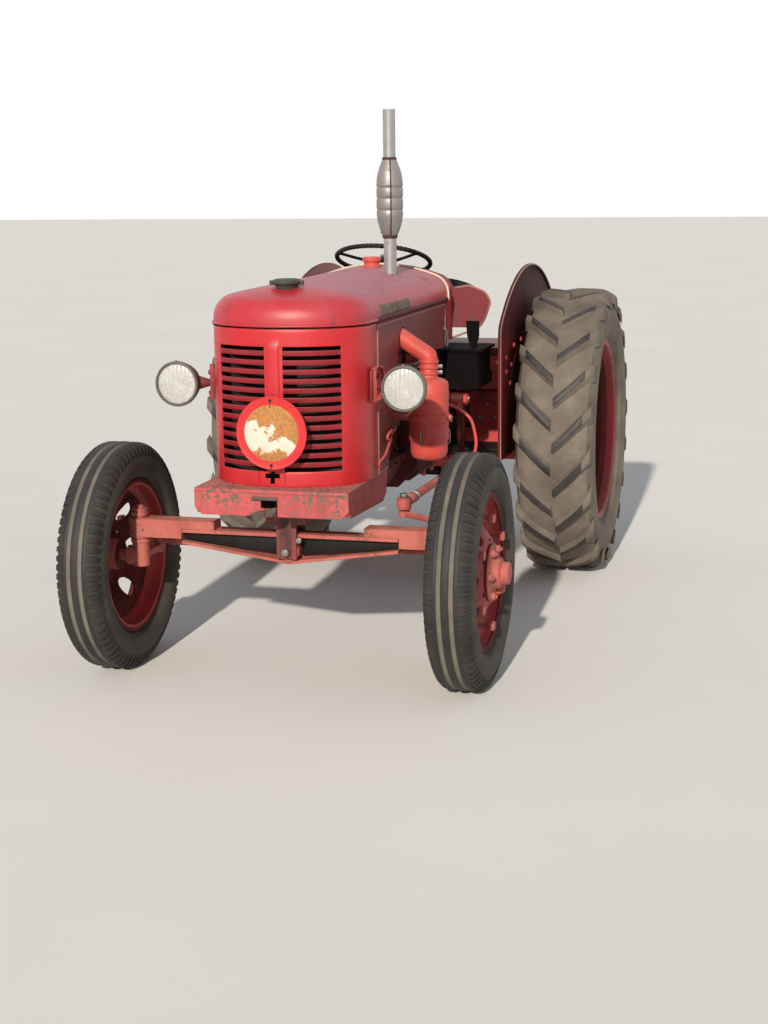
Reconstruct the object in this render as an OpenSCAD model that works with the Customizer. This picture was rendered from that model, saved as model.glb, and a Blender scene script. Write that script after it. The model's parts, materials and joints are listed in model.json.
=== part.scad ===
// Vintage row-crop tractor with an open engine, a slotted nose and a wide front axle.
// Millimetres. The front faces -Y, +X is the tractor's left, the tyres stand on z = 0.
// Stations along Y are measured back from the front axle line and shifted by place().

/* [Stance] */
// Distance between the axle lines
wheelbase = 1850; // [1780:10:1920]
// Distance between the front tyre centre planes
front_track = 1210; // [1190:5:1260]
// Distance between the rear tyre centre planes
rear_track = 1276; // [1260:4:1340]

/* [Tyres and rims] */
// Outer diameter of a front tyre
front_tyre_d = 765; // [740:5:790]
// Section width of a front tyre
front_tyre_w = 166; // [150:2:180]
// Bead seat diameter of a front rim
front_rim_d = 483; // [460:1:500]
// Outer diameter of a rear tyre over its lugs
rear_tyre_d = 1167; // [1140:5:1180]
// Section width of a rear tyre
rear_tyre_w = 317; // [290:2:330]
// Bead seat diameter of a rear rim
rear_rim_d = 711; // [690:1:730]
// Height of a lug above the carcass
lug_h = 26; // [16:1:32]
// Width of a lug along the tread
lug_w = 34; // [26:1:42]
// Lugs on each half of the tread
lugs = 20; // [16:1:24]

/* [Nose and bonnet] */
// Half width of the bonnet at its seam
body_hw = 264; // [250:2:276]
// Height of the seam between bonnet and side panels
seam_z = 1162; // [1140:2:1180]
// Height of the crown of the bonnet at the nose
crown_z = 1288; // [1270:2:1300]
// Rise of the crown from the nose to the scuttle
crown_rise = 10; // [0:1:20]
// Station of the foremost point of the nose
nose_y = -145; // [-155:1:-135]
// Radius of the front of the nose in plan
nose_front_r = 324; // [310:1:345]
// Radius of the corners of the nose in plan
nose_corner_r = 198; // [180:1:210]
// Radius of the shoulders of the bonnet
shoulder_r = 75; // [60:1:85]
// Thickness of the sheet metal
sheet = 3; // [2:0.5:4]
// Station where the side panels begin
panel_y = 132; // [125:1:145]
// Station where the bonnet ends
bonnet_end = 1132; // [1110:2:1150]
// Length of the scuttle behind the bonnet
scuttle_len = 96; // [80:2:110]

/* [Grille] */
// Rows of slots
slot_rows = 14; // [10:1:15]
// Distance between two rows
slot_pitch = 29.6; // [27:0.2:31]
// Height of a slot
slot_h = 12; // [8:1:15]
// Height of the lowest row
slot_low_z = 716; // [706:2:730]
// Distance of a slot's inner end from the centre
slot_in = 31; // [24:1:40]
// Distance of a slot's outer end from the centre
slot_out = 202; // [180:2:212]
// Diameter of the round disc on the grille
disc_d = 230; // [200:2:240]

/* [Front casting] */
// Half width of the bumper
bumper_hw = 257; // [250:1:262]
// Height of the lower edge of the bumper
bumper_z = 574; // [566:1:584]
// Height of the top of the bumper, on which the nose stands
bumper_top = 660; // [650:1:668]
// Station of the bumper's front face
bumper_y = -200; // [-210:1:-190]

/* [Front axle and steering] */
// Distance of a kingpin from the centre
kingpin_x = 535; // [525:1:545]
// Diameter of a kingpin
kingpin_d = 32; // [26:1:36]
// Diameter of a stub axle
stub_d = 40; // [34:1:46]
// Distance of the drag link's ball inboard of the kingpin
ball_in = 190; // [180:1:200]
// Distance of the drag link's ball behind the front axle line
ball_back = 150; // [140:1:160]
// Height of the drag link
link_z = 568; // [564:1:576]
// Diameter of the drag link
link_d = 30; // [24:1:34]
// Length of the track rod arms
rod_arm = 160; // [140:2:166]
// Station of the drop arm's shaft
drop_y = 1215; // [1200:5:1230]
// Height of the drop arm's shaft
drop_z = 782; // [770:2:800]
// Steering wheel diameter
wheel_d = 396; // [360:2:420]
// Distance of the steering wheel to the tractor's right
wheel_off = 85; // [60:1:100]
// Tilt of the steering column from upright
column_tilt = 20; // [15:1:28]

/* [Driveline] */
// Half width of the engine block
block_hw = 122; // [110:2:140]
// Height of the bottom of the sump
sump_z = 500; // [480:2:520]
// Half width of the gearbox
gearbox_hw = 165; // [150:1:175]
// Diameter of a rear axle shaft
shaft_d = 70; // [60:1:80]
// Drawbar pin hole diameter
drawbar_hole_d = 32; // [25:1:36]
// Drawbar height above the ground
drawbar_z = 380; // [360:2:400]
// Power take-off shaft diameter
pto_d = 35; // [28:1:45]

/* [Fenders, lamps and stack] */
// Distance of a fender's plate from the centre
fender_x = 440; // [436:1:446]
// Depth of a fender's lip
fender_lip = 46; // [36:1:50]
// Height of a fender's crown
fender_top = 1268; // [1250:2:1280]
// Diameter of a headlamp
lamp_d = 150; // [140:1:160]
// Height of the headlamps
lamp_z = 966; // [955:1:975]
// Distance of a headlamp from the centre
lamp_x = 386; // [380:1:392]
// Diameter of the exhaust pipe
pipe_d = 46; // [40:1:50]
// Diameter of the silencer
silencer_d = 96; // [86:1:104]
// Height of the top of the exhaust pipe
stack_top = 1865; // [1840:5:1890]

/* [Hidden] */
$fn = 48;

paint = "#C22A30";
cast_paint = "#A8343A";
worn_paint = "#C9685C";
iron = "#3B3A3B";
rubber = "#3A3A3C";
dusty_rubber = "#6F655C";
bare_steel = "#9A9A98";

// Running clearance on a radius, thrust gap at a shoulder, and the seat gap of curved faces
run_gap = 0.08;
thrust_gap = 0.5;
seat_gap = 0.3;

front_r = front_tyre_d / 2;
rear_r = rear_tyre_d / 2;
fender_back = wheelbase + 612;
mid_y = (fender_back - front_r) / 2;
// Front face of the rear axle housing, where the gearbox and the footplates end
housing_y = wheelbase - 232;

// Plan of the nose: one front arc between two corner arcs that end parallel to Y
plan_c = nose_y + nose_front_r;
plan_a = asin((body_hw - nose_corner_r) / (nose_front_r - nose_corner_r));
corner_x = body_hw - nose_corner_r;
corner_y = plan_c - (nose_front_r - nose_corner_r) * cos(plan_a);

// Section of the bonnet: upright side, shoulder arc and a shallow crown
side_rise = 26;
shoulder_a = 76;
shoulder_z = seam_z + side_rise;

function plan(inset, back) = concat(
    [[-(body_hw - inset), back]],
    [for (i = [8:-1:0]) let (a = plan_a + (90 - plan_a) * i / 8, r = nose_corner_r - inset)
        [-(corner_x + r * sin(a)), corner_y - r * cos(a)]],
    [for (i = [-5:5]) let (a = plan_a * i / 6, r = nose_front_r - inset)
        [r * sin(a), plan_c - r * cos(a)]],
    [for (i = [0:8]) let (a = plan_a + (90 - plan_a) * i / 8, r = nose_corner_r - inset)
        [corner_x + r * sin(a), corner_y - r * cos(a)]],
    [[body_hw - inset, back]]);

function half_section(inset, top, skirt = 0) = let (r = shoulder_r - inset, n = 7) concat(
    [[body_hw - inset, seam_z - skirt], [body_hw - inset, shoulder_z]],
    [for (i = [1:n]) let (a = shoulder_a * i / n)
        [body_hw - shoulder_r + r * cos(a), shoulder_z + r * sin(a)]],
    [for (i = [1:4]) let (x0 = body_hw - shoulder_r + r * cos(shoulder_a),
        z0 = shoulder_z + r * sin(shoulder_a), t = i / 4)
        [x0 * (1 - t), z0 + (top - inset - z0) * (1 - (1 - t) * (1 - t))]]);

function flip(p) = [for (i = [len(p) - 1:-1:0]) [-p[i][0], p[i][1]]];
function section(inset, top, skirt = 0) = let (h = half_section(inset, top, skirt))
    concat(h, [for (q = flip(h)) if (q[0] < -0.01) q]);

module place() translate([0, -mid_y, 0]) children();
module both_sides() { children(); mirror([1, 0, 0]) children(); }

// A slab with its outline in XZ, from station y back by t
module slab_xz(y, t) translate([0, y + t, 0]) rotate([90, 0, 0]) linear_extrude(t) children();
// A slab with its outline in YZ, from x outwards by t
module slab_yz(x, t) translate([x, 0, 0]) rotate([90, 0, 90]) linear_extrude(t) children();
// A round bar between two points
module bar(a, b, d) {
    v = b - a;
    l = norm(v);
    translate(a) rotate([0, acos(v[2] / l), atan2(v[1], v[0])]) cylinder(d = d, h = l);
}
module rod_x(x0, x1, y, z, d) translate([x0, y, z]) rotate([0, 90, 0]) cylinder(d = d, h = x1 - x0);
module rod_y(y0, y1, x, z, d) translate([x, y0, z]) rotate([-90, 0, 0]) cylinder(d = d, h = y1 - y0);
module rod_z(z0, z1, x, y, d) translate([x, y, z0]) cylinder(d = d, h = z1 - z0);
module block(x0, x1, y0, y1, z0, z1) translate([x0, y0, z0]) cube([x1 - x0, y1 - y0, z1 - z0]);

// Front casting

// Heights of the front axle follow the stub axle
pivot_z = front_r + 47.5;
axle_half = 36;

module front_bolster() color(worn_paint) place() {
    notch_x = 22;
    notch_low = 592;
    notch_high = 634;
    difference() {
        union() {
            slab_xz(bumper_y, 26) polygon([
                [-bumper_hw, bumper_z + 26], [-bumper_hw + 24, bumper_z],
                [bumper_hw - 24, bumper_z], [bumper_hw, bumper_z + 26],
                [bumper_hw, bumper_top], [-bumper_hw, bumper_top]]);
            block(-bumper_hw, bumper_hw, bumper_y, 110, bumper_top - 14, bumper_top);
            both_sides() slab_yz(bumper_hw - 14, 14) polygon([
                [bumper_y, bumper_top], [bumper_y, bumper_z + 26], [bumper_y + 30, bumper_z],
                [210, bumper_z - 14], [252, bumper_z + 10], [266, bumper_top]]);
            block(-bumper_hw + 2, bumper_hw - 2, 84, 110, bumper_z, bumper_top);
        }
        // Tow notch with a hooked lower lip
        block(-64, notch_x, bumper_y - 1, bumper_y + 40, notch_high - 10, notch_high);
        block(-34, notch_x, bumper_y - 1, bumper_y + 40, notch_low + 8, notch_high);
        slab_xz(bumper_y - 1, 40) polygon([
            [notch_x - 20, bumper_z - 1], [notch_x, bumper_z - 1], [notch_x, notch_low + 9],
            [notch_x - 2, notch_low + 9]]);
    }
    // Pivot bracket that straddles the axle beam
    block(-70, 70, -52, 86, 520, bumper_z + 2);
    for (y = [-52, axle_half + 6]) difference() {
        block(-34, 34, y, y + 10, pivot_z - 26, 521);
        rod_y(y - 1, y + 11, 0, pivot_z, 30 + 2 * run_gap);
    }
    block(-70, 70, 84, 110, 540, bumper_z + 2);
}

module nose_cowl() color(paint) place() {
    difference() {
        translate([0, 0, bumper_top]) linear_extrude(seam_z - bumper_top) polygon(plan(0, panel_y - 0.5));
        translate([0, 0, bumper_top - 1]) linear_extrude(seam_z - bumper_top + 2)
            polygon(plan(sheet, panel_y));
        for (row = [0:slot_rows - 1], side = [-1, 1])
            translate([side * (slot_in + slot_out) / 2 - (slot_out - slot_in) / 2,
                nose_y - 10, slot_low_z + row * slot_pitch - slot_h / 2])
                cube([slot_out - slot_in, 130, slot_h]);
        // Cross-shaped hole for the starting handle
        rod_y(nose_y - 5, nose_y + 40, 0, 690, 22);
        block(-20, 20, nose_y - 5, nose_y + 40, 686, 694);
        block(-4, 4, nose_y - 5, nose_y + 40, 675, 705);
    }
    // Raised centre rib
    difference() {
        block(-17, 17, nose_y - 5, nose_y + 3, 712, seam_z - 40);
        block(-13, 13, nose_y - 6, nose_y - 3, 716, seam_z - 44);
    }
}

cap_y = 8;

module radiator() color(iron) place() {
    block(-232, 232, 26, 96, 700, 1130);
    block(-236, 236, 22, 100, 1129, 1156);
    block(-70, 70, cap_y - 44, 23, 1129, 1156);
    block(-236, 236, 22, 100, bumper_top, 701);
    // Filler neck up to the cap
    rod_z(1155, crown_z - 10, 0, cap_y, 60);
}

module speed_disc() color("#C9C4B8") place() {
    rod_y(nose_y - 46, nose_y - 42, 0, 839, disc_d);
    // Two hangers reach back to the grille
    for (z = [839 - 84, 839 + 84]) rod_y(nose_y - 43, nose_y - 3, 0, z, 12);
}

// Convex form of the bonnet: plans stacked over the shoulder, then two sections under the crown
module bonnet_form(inset, back, skirt) hull() {
    for (i = [1:6]) let (a = shoulder_a * i / 6, r = shoulder_r - inset)
        translate([0, 0, shoulder_z + r * sin(a)]) linear_extrude(0.5)
            polygon(plan(inset + r * (1 - cos(a)), 400));
    translate([0, 0, seam_z - skirt]) linear_extrude(side_rise + skirt) polygon(plan(inset, 400));
    slab_xz(60, 1) polygon(section(inset, crown_z, skirt));
    slab_xz(back - 1, 1) polygon(section(inset, crown_z + crown_rise, skirt));
}

stack_x = 120;
stack_y = 842;
// Centre of the manifold, and the station where the intake pipe meets it
manifold_x = block_hw + 62;
cap_d = 96;
tank_cap_y = 1020;
tank_cap_z = crown_z + crown_rise * (tank_cap_y - 60) / (bonnet_end - 60) + seat_gap;

module bonnet() color(paint) place() difference() {
    bonnet_form(0, bonnet_end, 0);
    bonnet_form(sheet, bonnet_end + 10, 20);
    rod_z(crown_z - 120, crown_z + 60, stack_x, stack_y, pipe_d + 18);
    rod_z(crown_z - 60, crown_z + 60, 0, cap_y, cap_d + 6);
}

panel_low = bumper_top + 5;

// Arch in the left panel over the intake pipe
arch_y = 458;
arch_z = 1080;
arch_r = 44;

module side_panel(outline) slab_yz(body_hw - sheet, sheet) polygon(outline);

left_outline = concat(
    [[panel_y, panel_low], [250, panel_low], [325, 800], [352, 900], [384, 1010]],
    [for (a = [200:-20:20]) [arch_y + arch_r * cos(a), arch_z + arch_r * sin(a)]],
    [[530, 1080], [570, 1050], [640, 1026], [900, 1000], [1060, 992], [1096, 1010],
        [1096, seam_z - 1], [panel_y, seam_z - 1]]);

module side_panel_left() color(paint) place() side_panel(left_outline);
module side_panel_right() color(paint) place() mirror([1, 0, 0]) side_panel([
    [panel_y, panel_low], [250, panel_low], [325, 800], [372, 920], [470, 985],
    [640, 1010], [900, 1000], [1060, 992], [1096, 1010], [1096, seam_z - 1],
    [panel_y, seam_z - 1]]);

// Engine

block_y0 = 262;
block_y1 = 905;
head_z = 1000;
crank_z = 680;
fan_z = 906;

module engine() color(cast_paint) place() {
    block(-block_hw, block_hw, block_y0, block_y1, 600, head_z);
    block(-block_hw + 8, block_hw - 8, block_y0 + 6, block_y1 - 6, head_z - 1, 1084);
    // Rocker cover with a rounded top
    slab_xz(block_y0 + 30, block_y1 - block_y0 - 60) polygon([
        [-86, 1083], [86, 1083], [86, 1120], [70, 1142], [40, 1152],
        [-40, 1152], [-70, 1142], [-86, 1120]]);
    // Sump with sloping sides
    slab_xz(block_y0 - 40, block_y1 - block_y0 + 40) polygon([
        [-150, 612], [-150, 590], [-112, sump_z + 16], [-96, sump_z], [96, sump_z],
        [112, sump_z + 16], [150, 590], [150, 612]]);
    block(-158, 158, block_y0 - 44, block_y1 - 2, 603, 617);
    // Front timing cover joins the front casting
    block(-110, 110, 110, block_y0 + 1, 560, bumper_top - 20);
    slab_xz(block_y0 - 36, 37) polygon([
        [-100, bumper_top - 21], [100, bumper_top - 21], [100, 780], [62, 864], [-62, 864], [-100, 780]]);
    // Crank pulley with its vee groove
    translate([0, block_y0 - 30, crank_z]) rotate([90, 0, 0]) rotate_extrude() polygon([
        [0, -4], [70, -4], [75, 2], [75, 8], [62, 14], [62, 18], [75, 24], [75, 30], [70, 32], [0, 32]]);
    // Fan spindle with four blades
    rod_y(122, block_y0 + 10, 0, fan_z, 46);
    for (k = [0:3]) translate([0, 134, fan_z]) rotate([0, 45 + 90 * k, 0])
        translate([-26, -4, 10]) cube([52, 8, 175]);
    // Inlet and exhaust branches along the left of the head
    for (k = [0:3]) rod_x(block_hw - 14, block_hw + 62, 372 + 142 * k, 1040, 44);
    rod_y(340, 880, manifold_x, 1040, 52);
    rod_z(1040, 1066, manifold_x, intake_y, 62);
    block(stack_x - 20, block_hw + 50, stack_y - 16, stack_y + 20, 1018, 1062);
    rod_z(1060, 1150 - seat_gap, stack_x, stack_y, 52);
    engine_fittings();
}

// What is bolted to the sides of the block
module engine_fittings() {
    // Injection pump, its flange and its four outlets
    block(block_hw - 4, block_hw + 58, 560, 730, 742, 842);
    rod_y(729, 751, block_hw + 30, 790, 92);
    for (k = [0:3]) rod_z(841, 862, block_hw + 34, 588 + 38 * k, 20);
    // Fuel filter bowl on a bracket
    block(block_hw - 4, block_hw + 52, 786, 816, 906, 926);
    translate([block_hw + 52, 801, 0]) rotate_extrude() polygon([
        [0, 838], [18, 838], [27, 850], [30, 902], [38, 906], [38, 928], [0, 932]]);
    // Covers over the push rods
    for (y = [300, 428]) block(block_hw - 4, block_hw + 9, y, y + 112, 650, 790);
    // Starter motor and oil filter on the right
    rod_y(690, 884, -block_hw - 40, 676, 98);
    rod_y(640, 691, -block_hw - 40, 676, 62);
    rod_z(636, 792, -block_hw - 46, 440, 88);
    block(-block_hw - 48, -block_hw + 4, 412, 468, 791, 822);
}

module dynamo() color(iron) place() {
    rod_y(300, 520, -196, 880, 112);
    rod_y(262, 301, -196, 880, 84);
    block(-150, -block_hw, 330, 400, 850, 900);
    // Fan belt pulley
    rod_y(236, 263, -196, 880, 96);
}

cleaner_x = 360;
cleaner_y = 440;
cleaner_d = 138;
// Height of the shoulder of the canister, and of the elbow above its neck
cleaner_top = 935;
elbow_z = 1020;
intake_y = cleaner_y + 34;

module air_cleaner() color(worn_paint) place() {
    rod_z(740, cleaner_top, cleaner_x, cleaner_y, cleaner_d);
    rod_z(672, 741, cleaner_x, cleaner_y, cleaner_d - 10);
    rod_z(cleaner_top - 1, cleaner_top + 11, cleaner_x, cleaner_y, cleaner_d - 30);
    rod_z(cleaner_top + 10, elbow_z, cleaner_x, cleaner_y, 62);
    // Intake pipe climbs inboard to the head
    translate([cleaner_x, cleaner_y, elbow_z]) sphere(d = 64);
    bar([cleaner_x, cleaner_y, elbow_z], [manifold_x, intake_y, 1130], 62);
    rod_z(1066 + seat_gap, 1118, manifold_x, intake_y, 50);
    for (z = [964, 984]) rod_z(z, z + 10, cleaner_x, cleaner_y, 70);
    // Strap and bracket to the block
    rod_z(800, 830, cleaner_x, cleaner_y, cleaner_d + 6);
    block(block_hw, cleaner_x - cleaner_d / 2 + 8, cleaner_y - 30, cleaner_y + 30, 806, 824);
}

module exhaust_stack() color(bare_steel) place() translate([stack_x, stack_y, 0])
    rotate_extrude() polygon([
        [pipe_d / 2 - 3, 1150], [pipe_d / 2, 1150], [pipe_d / 2, 1380],
        [silencer_d / 2 - 6, 1450], [silencer_d / 2, 1462], [silencer_d / 2, 1496],
        [silencer_d / 2 - 3, 1500], [silencer_d / 2, 1504], [silencer_d / 2, 1544],
        [silencer_d / 2 - 3, 1548], [silencer_d / 2, 1552], [silencer_d / 2, 1594],
        [silencer_d / 2 - 3, 1598], [silencer_d / 2, 1602], [silencer_d / 2 - 6, 1620],
        [pipe_d / 2 + 1, 1684], [pipe_d / 2 - 1, 1684], [pipe_d / 2 - 1, stack_top],
        [pipe_d / 2 - 4, stack_top]]);

module filler_caps() color(iron) place() {
    // Radiator cap on its neck
    rod_z(crown_z - 10, crown_z + 6, 0, cap_y, cap_d);
    rod_z(crown_z + 5, crown_z + 16, 0, cap_y, cap_d - 20);
    // Fuel cap on the crown
    rod_z(tank_cap_z, tank_cap_z + 19, 0, tank_cap_y, 60);
    rod_z(tank_cap_z + 18, tank_cap_z + 36, 0, tank_cap_y, 70);
}

// Gearbox and rear axle

gearbox_top = 850;

// Section of the clutch housing from its half width and the heights of its shoulder and top
module bell(hw, shoulder, top) polygon([
    [-hw, 560], [-hw * 0.63, sump_z - 10], [hw * 0.63, sump_z - 10], [hw, 560], [hw, shoulder],
    [hw * 0.68, top], [-hw * 0.68, top], [-hw, shoulder]]);

module transmission() color(cast_paint) place() {
    // Clutch housing tapers from its flange on the engine to the gearbox
    slab_xz(block_y1, 20) offset(r = 10) bell(190, 800, 900);
    hull() {
        slab_xz(block_y1 + 18, 40) bell(190, 800, 900);
        slab_xz(block_y1 + 150, 11) bell(gearbox_hw, 780, 846);
    }
    slab_xz(block_y1 + 150, housing_y - block_y1 - 150) polygon([
        [-gearbox_hw, 510], [-gearbox_hw + 34, 480], [gearbox_hw - 34, 480], [gearbox_hw, 510],
        [gearbox_hw, 800], [gearbox_hw - 12, 812], [12 - gearbox_hw, 812], [-gearbox_hw, 800]]);
    // Flange on the axle housing
    slab_xz(housing_y - 18, 18) polygon([
        [-186, 520], [-150, 470], [150, 470], [186, 520], [186, 740], [150, 790], [-150, 790], [-186, 740]]);
    slab_xz(block_y1 + 160, housing_y - block_y1 - 168) polygon([
        [-140, 811], [140, 811], [110, gearbox_top], [-110, gearbox_top]]);
}

module rounded_yz(y0, y1, z0, z1, r) translate([y0 + r, z0 + r]) offset(r = r)
    square([y1 - y0 - 2 * r, z1 - z0 - 2 * r]);

module rear_axle() color(cast_paint) place() {
    difference() {
        union() {
            slab_yz(-200, 400) rounded_yz(housing_y, wheelbase + 236, 440, 768, 26);
            // Arms reach out through the fenders to the hubs
            both_sides() {
                slab_yz(198, 228) rounded_yz(wheelbase - 168, wheelbase + 168, 468, 766, 22);
                slab_yz(198, 16) rounded_yz(wheelbase - 184, wheelbase + 184, 456, 768, 26);
                block(424, fender_x, wheelbase - 150, wheelbase + 150, 700, 808);
                rod_x(190, 486, wheelbase, rear_r, 190);
            }
            both_sides() rod_y(wheelbase - 182, wheelbase - 166, 306, 664, 96);
        }
        both_sides() rod_x(300, 500, wheelbase, rear_r, shaft_d + 2 * run_gap);
        rod_y(wheelbase + 180, wheelbase + 240, 0, 560, pto_d + 2 * run_gap);
    }
}

// Scuttle, dash and driver's place

scuttle_y = bonnet_end + 8;

module scuttle() color(paint) place() difference() {
    slab_xz(scuttle_y, scuttle_len) polygon(concat(
        [[body_hw - 4, 1010]], section(4, crown_z + crown_rise), [[-body_hw + 4, 1010]]));
    slab_xz(scuttle_y - 1, scuttle_len + 2) polygon(concat(
        [[body_hw - 4 - sheet, 1009]], section(4 + sheet, crown_z + crown_rise),
        [[-body_hw + 4 + sheet, 1009]]));
}

module dash_panel() color(paint) place() {
    y = scuttle_y + scuttle_len;
    difference() {
        slab_xz(y, 4) polygon(concat(
            [[360, 1054], [384, 1084], [401, 1128], [407, 1156], [386, 1190], [326, 1214], [body_hw + 6, 1206]],
            [for (q = section(0, crown_z + crown_rise)) if (q[1] > 1207) q],
            [[-body_hw - 6, 1206], [-326, 1214], [-386, 1190], [-407, 1156], [-401, 1128],
                [-384, 1084], [-360, 1054], [14 - body_hw, 1054], [14 - body_hw, 1010],
                [body_hw - 14, 1010], [body_hw - 14, 1054]]));
        for (x = [-40, 90, 170]) rod_y(y - 1, y + 5, x, 1170, 60);
    }
    // Gauges
    for (x = [-40, 90, 170]) rod_y(y - 14, y + 8, x, 1170, 59);
}

module battery_box() color(iron) place() {
    block(212, 374, 1150, 1400, 826, 970);
    block(206, 392, 1144, 1406, 968, 978);
    // Post under the dash wing and a foot on the gearbox
    slab_xz(scuttle_y + scuttle_len - 12, 12) polygon([
        [334, 977], [354, 977], [366, 1024], [366, 1080], [316, 1080], [320, 1024]]);
    block(gearbox_hw, 240, 1310, 1390, 760, 790);
    block(214, 240, 1310, 1390, 789, 827);
}

column_c = [-wheel_off, 1500, 1298];

module along_column(d) translate(column_c) rotate([-column_tilt, 0, 0]) translate([0, 0, d]) children();

column_foot = -420;

module steering_box() color(cast_paint) place() difference() {
    union() {
        block(-140, 206, 1130, 1270, gearbox_top, 906);
        block(-140, -30, 1269, 1410, gearbox_top, 906);
        block(gearbox_hw + 1, 206, 1165, 1265, 740, gearbox_top + 1);
        along_column(column_foot) cylinder(d = 46, h = -column_foot - 50);
        rod_x(190, 262, drop_y, drop_z, 74);
    }
    along_column(column_foot + 60) cylinder(d = 22 + 2 * run_gap, h = -column_foot);
    rod_x(190, 290, drop_y, drop_z, 36 + 2 * run_gap);
}

seat_y = wheelbase + 80;
seat_z = 1060;
// Height of the box under the seat
box_top = 938;

module seat() color(iron) place() {
    translate([0, seat_y, seat_z]) difference() {
        union() {
            linear_extrude(46) round_rect(430, 380, 90);
            translate([0, 120, 0]) linear_extrude(150) round_rect(430, 140, 60);
        }
        translate([0, -8, 8]) linear_extrude(200) round_rect(404, 350, 80);
    }
}

module round_rect(w, d, r) {
    square([w - 2 * r, d], center = true);
    square([w, d - 2 * r], center = true);
    for (x = [-1, 1], y = [-1, 1]) translate([x * (w / 2 - r), y * (d / 2 - r)]) circle(r);
}

module seat_support() color(iron) place() {
    block(-36, 36, seat_y - 160, seat_y + 80, seat_z - 16, seat_z - seat_gap);
    slab_yz(-30, 60) polygon([
        [seat_y + 80, seat_z - 15], [seat_y + 66, seat_z - 15], [seat_y + 66, box_top],
        [seat_y + 120, box_top], [seat_y + 120, box_top + 14], [seat_y + 80, box_top + 14]]);
}

module toolbox() color(paint) place() translate([0, wheelbase - 5, 768]) difference() {
    h = box_top - 768;
    union() {
        linear_extrude(h - 20) round_rect(846, 420, 14);
        translate([0, 0, h - 30]) linear_extrude(30) round_rect(854, 428, 16);
    }
    translate([0, 0, 6]) linear_extrude(h - 12) square([834, 408], center = true);
}

module footplate() {
    block(gearbox_hw + 25, fender_x - 1, housing_y - 198, housing_y, 548, 553);
    for (y = [housing_y - 178, housing_y - 48]) block(gearbox_hw, fender_x - 20, y, y + 30, 524, 549);
}
module footplate_left() color(iron) place() footplate();
module footplate_right() color(iron) place() mirror([1, 0, 0]) footplate();

// Fender: a flat plate with a lip all round, its crown a long arc over the wheel that rounds off at both ends
fender_front = wheelbase - 620;
crown_r = 1000;
crown_c = fender_top - crown_r;
corner_front_r = 60;
corner_back_r = 45;

// Height at which a corner arc touches the crown arc from within
function corner_z(y, r) = crown_c + sqrt((crown_r - r) * (crown_r - r) - (y - wheelbase) * (y - wheelbase));
function arc(y, z, r, a0, a1, n) = [for (i = [0:n]) let (a = a0 + (a1 - a0) * i / n)
    [y + r * cos(a), z + r * sin(a)]];

function fender_line(inset) = let (
    fy = fender_front + corner_front_r, fz = corner_z(fy, corner_front_r),
    by = fender_back - corner_back_r, bz = corner_z(by, corner_back_r),
    fa = atan2(fz - crown_c, fy - wheelbase), ba = atan2(bz - crown_c, by - wheelbase)) concat(
    [[fender_front + inset, 530]],
    arc(fy, fz, corner_front_r - inset, 180, fa + 4, 5),
    arc(wheelbase, crown_c, crown_r - inset, fa, ba, 24),
    arc(by, bz, corner_back_r - inset, ba - 4, 0, 5),
    [[fender_back - inset, 800]]);

module fender() {
    difference() {
        slab_yz(fender_x, fender_lip) polygon(fender_line(0));
        slab_yz(fender_x + sheet, fender_lip) polygon(concat(
            [[fender_front + sheet, 529]], [for (p = fender_line(sheet)) if (p[1] > 531) p],
            [[fender_back - sheet, 700]]));
        // Room for the axle arm
        block(fender_x - 1, fender_x + fender_lip + 1, wheelbase - 176, wheelbase + 176, 400, 778);
    }
}
module fender_left() color(paint) place() fender();
module fender_right() color(paint) place() mirror([1, 0, 0]) fender();

lamp_depth = 110;

module headlamp() {
    translate([lamp_x, 4, lamp_z]) rotate([90, 0, 0]) rotate_extrude() polygon([
        [0, -lamp_depth + 20], [24, -lamp_depth + 22], [48, -lamp_depth + 38], [64, -lamp_depth + 62],
        [lamp_d / 2 - 4, -12], [lamp_d / 2, -8], [lamp_d / 2, 6], [lamp_d / 2 - 6, 10], [0, 14]]);
    // Bracket from the side of the nose
    block(body_hw + seat_gap, body_hw + 8, 34, 84, lamp_z - 52, lamp_z + 52);
    rod_x(body_hw + 6, lamp_x - 30, 58, lamp_z, 22);
}
module headlamp_left() color("#6B625A") place() headlamp();
module headlamp_right() color("#6B625A") place() mirror([1, 0, 0]) headlamp();

module drawbar() color(iron) place() {
    difference() {
        union() {
            block(-40, 40, wheelbase + 40, fender_back - 30, drawbar_z - 14, drawbar_z + 14);
            rod_z(drawbar_z - 14, drawbar_z + 14, 0, fender_back - 40, 80);
        }
        rod_z(drawbar_z - 20, drawbar_z + 20, 0, fender_back - 40, drawbar_hole_d);
    }
    // Hangers under the axle housing
    both_sides() slab_yz(42, 10) polygon([
        [wheelbase + 60, drawbar_z - 20], [wheelbase + 200, drawbar_z - 20],
        [wheelbase + 220, 440 - seat_gap], [wheelbase + 60, 440 - seat_gap]]);
    block(-52, 52, wheelbase + 60, wheelbase + 200, drawbar_z - 26, drawbar_z - 14);
}

module pto_shaft() color(bare_steel) place() {
    rod_y(wheelbase + 190, wheelbase + 330, 0, 560, pto_d);
    rod_y(wheelbase + 236.5, wheelbase + 252, 0, 560, 92);
}

// A lever turned in one piece with its round knob, from a to b
module lever(a, b, d, knob_d) {
    v = b - a;
    l = norm(v);
    translate(a) rotate([0, acos(v[2] / l), atan2(v[1], v[0])]) rotate(115) rotate_extrude() polygon(concat(
        [[0, 0], [d / 2, 0]],
        [for (t = [-60:30:60]) [knob_d / 2 * cos(t), l + knob_d / 2 * sin(t)]],
        [[0, l + knob_d / 2]]));
}

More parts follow.
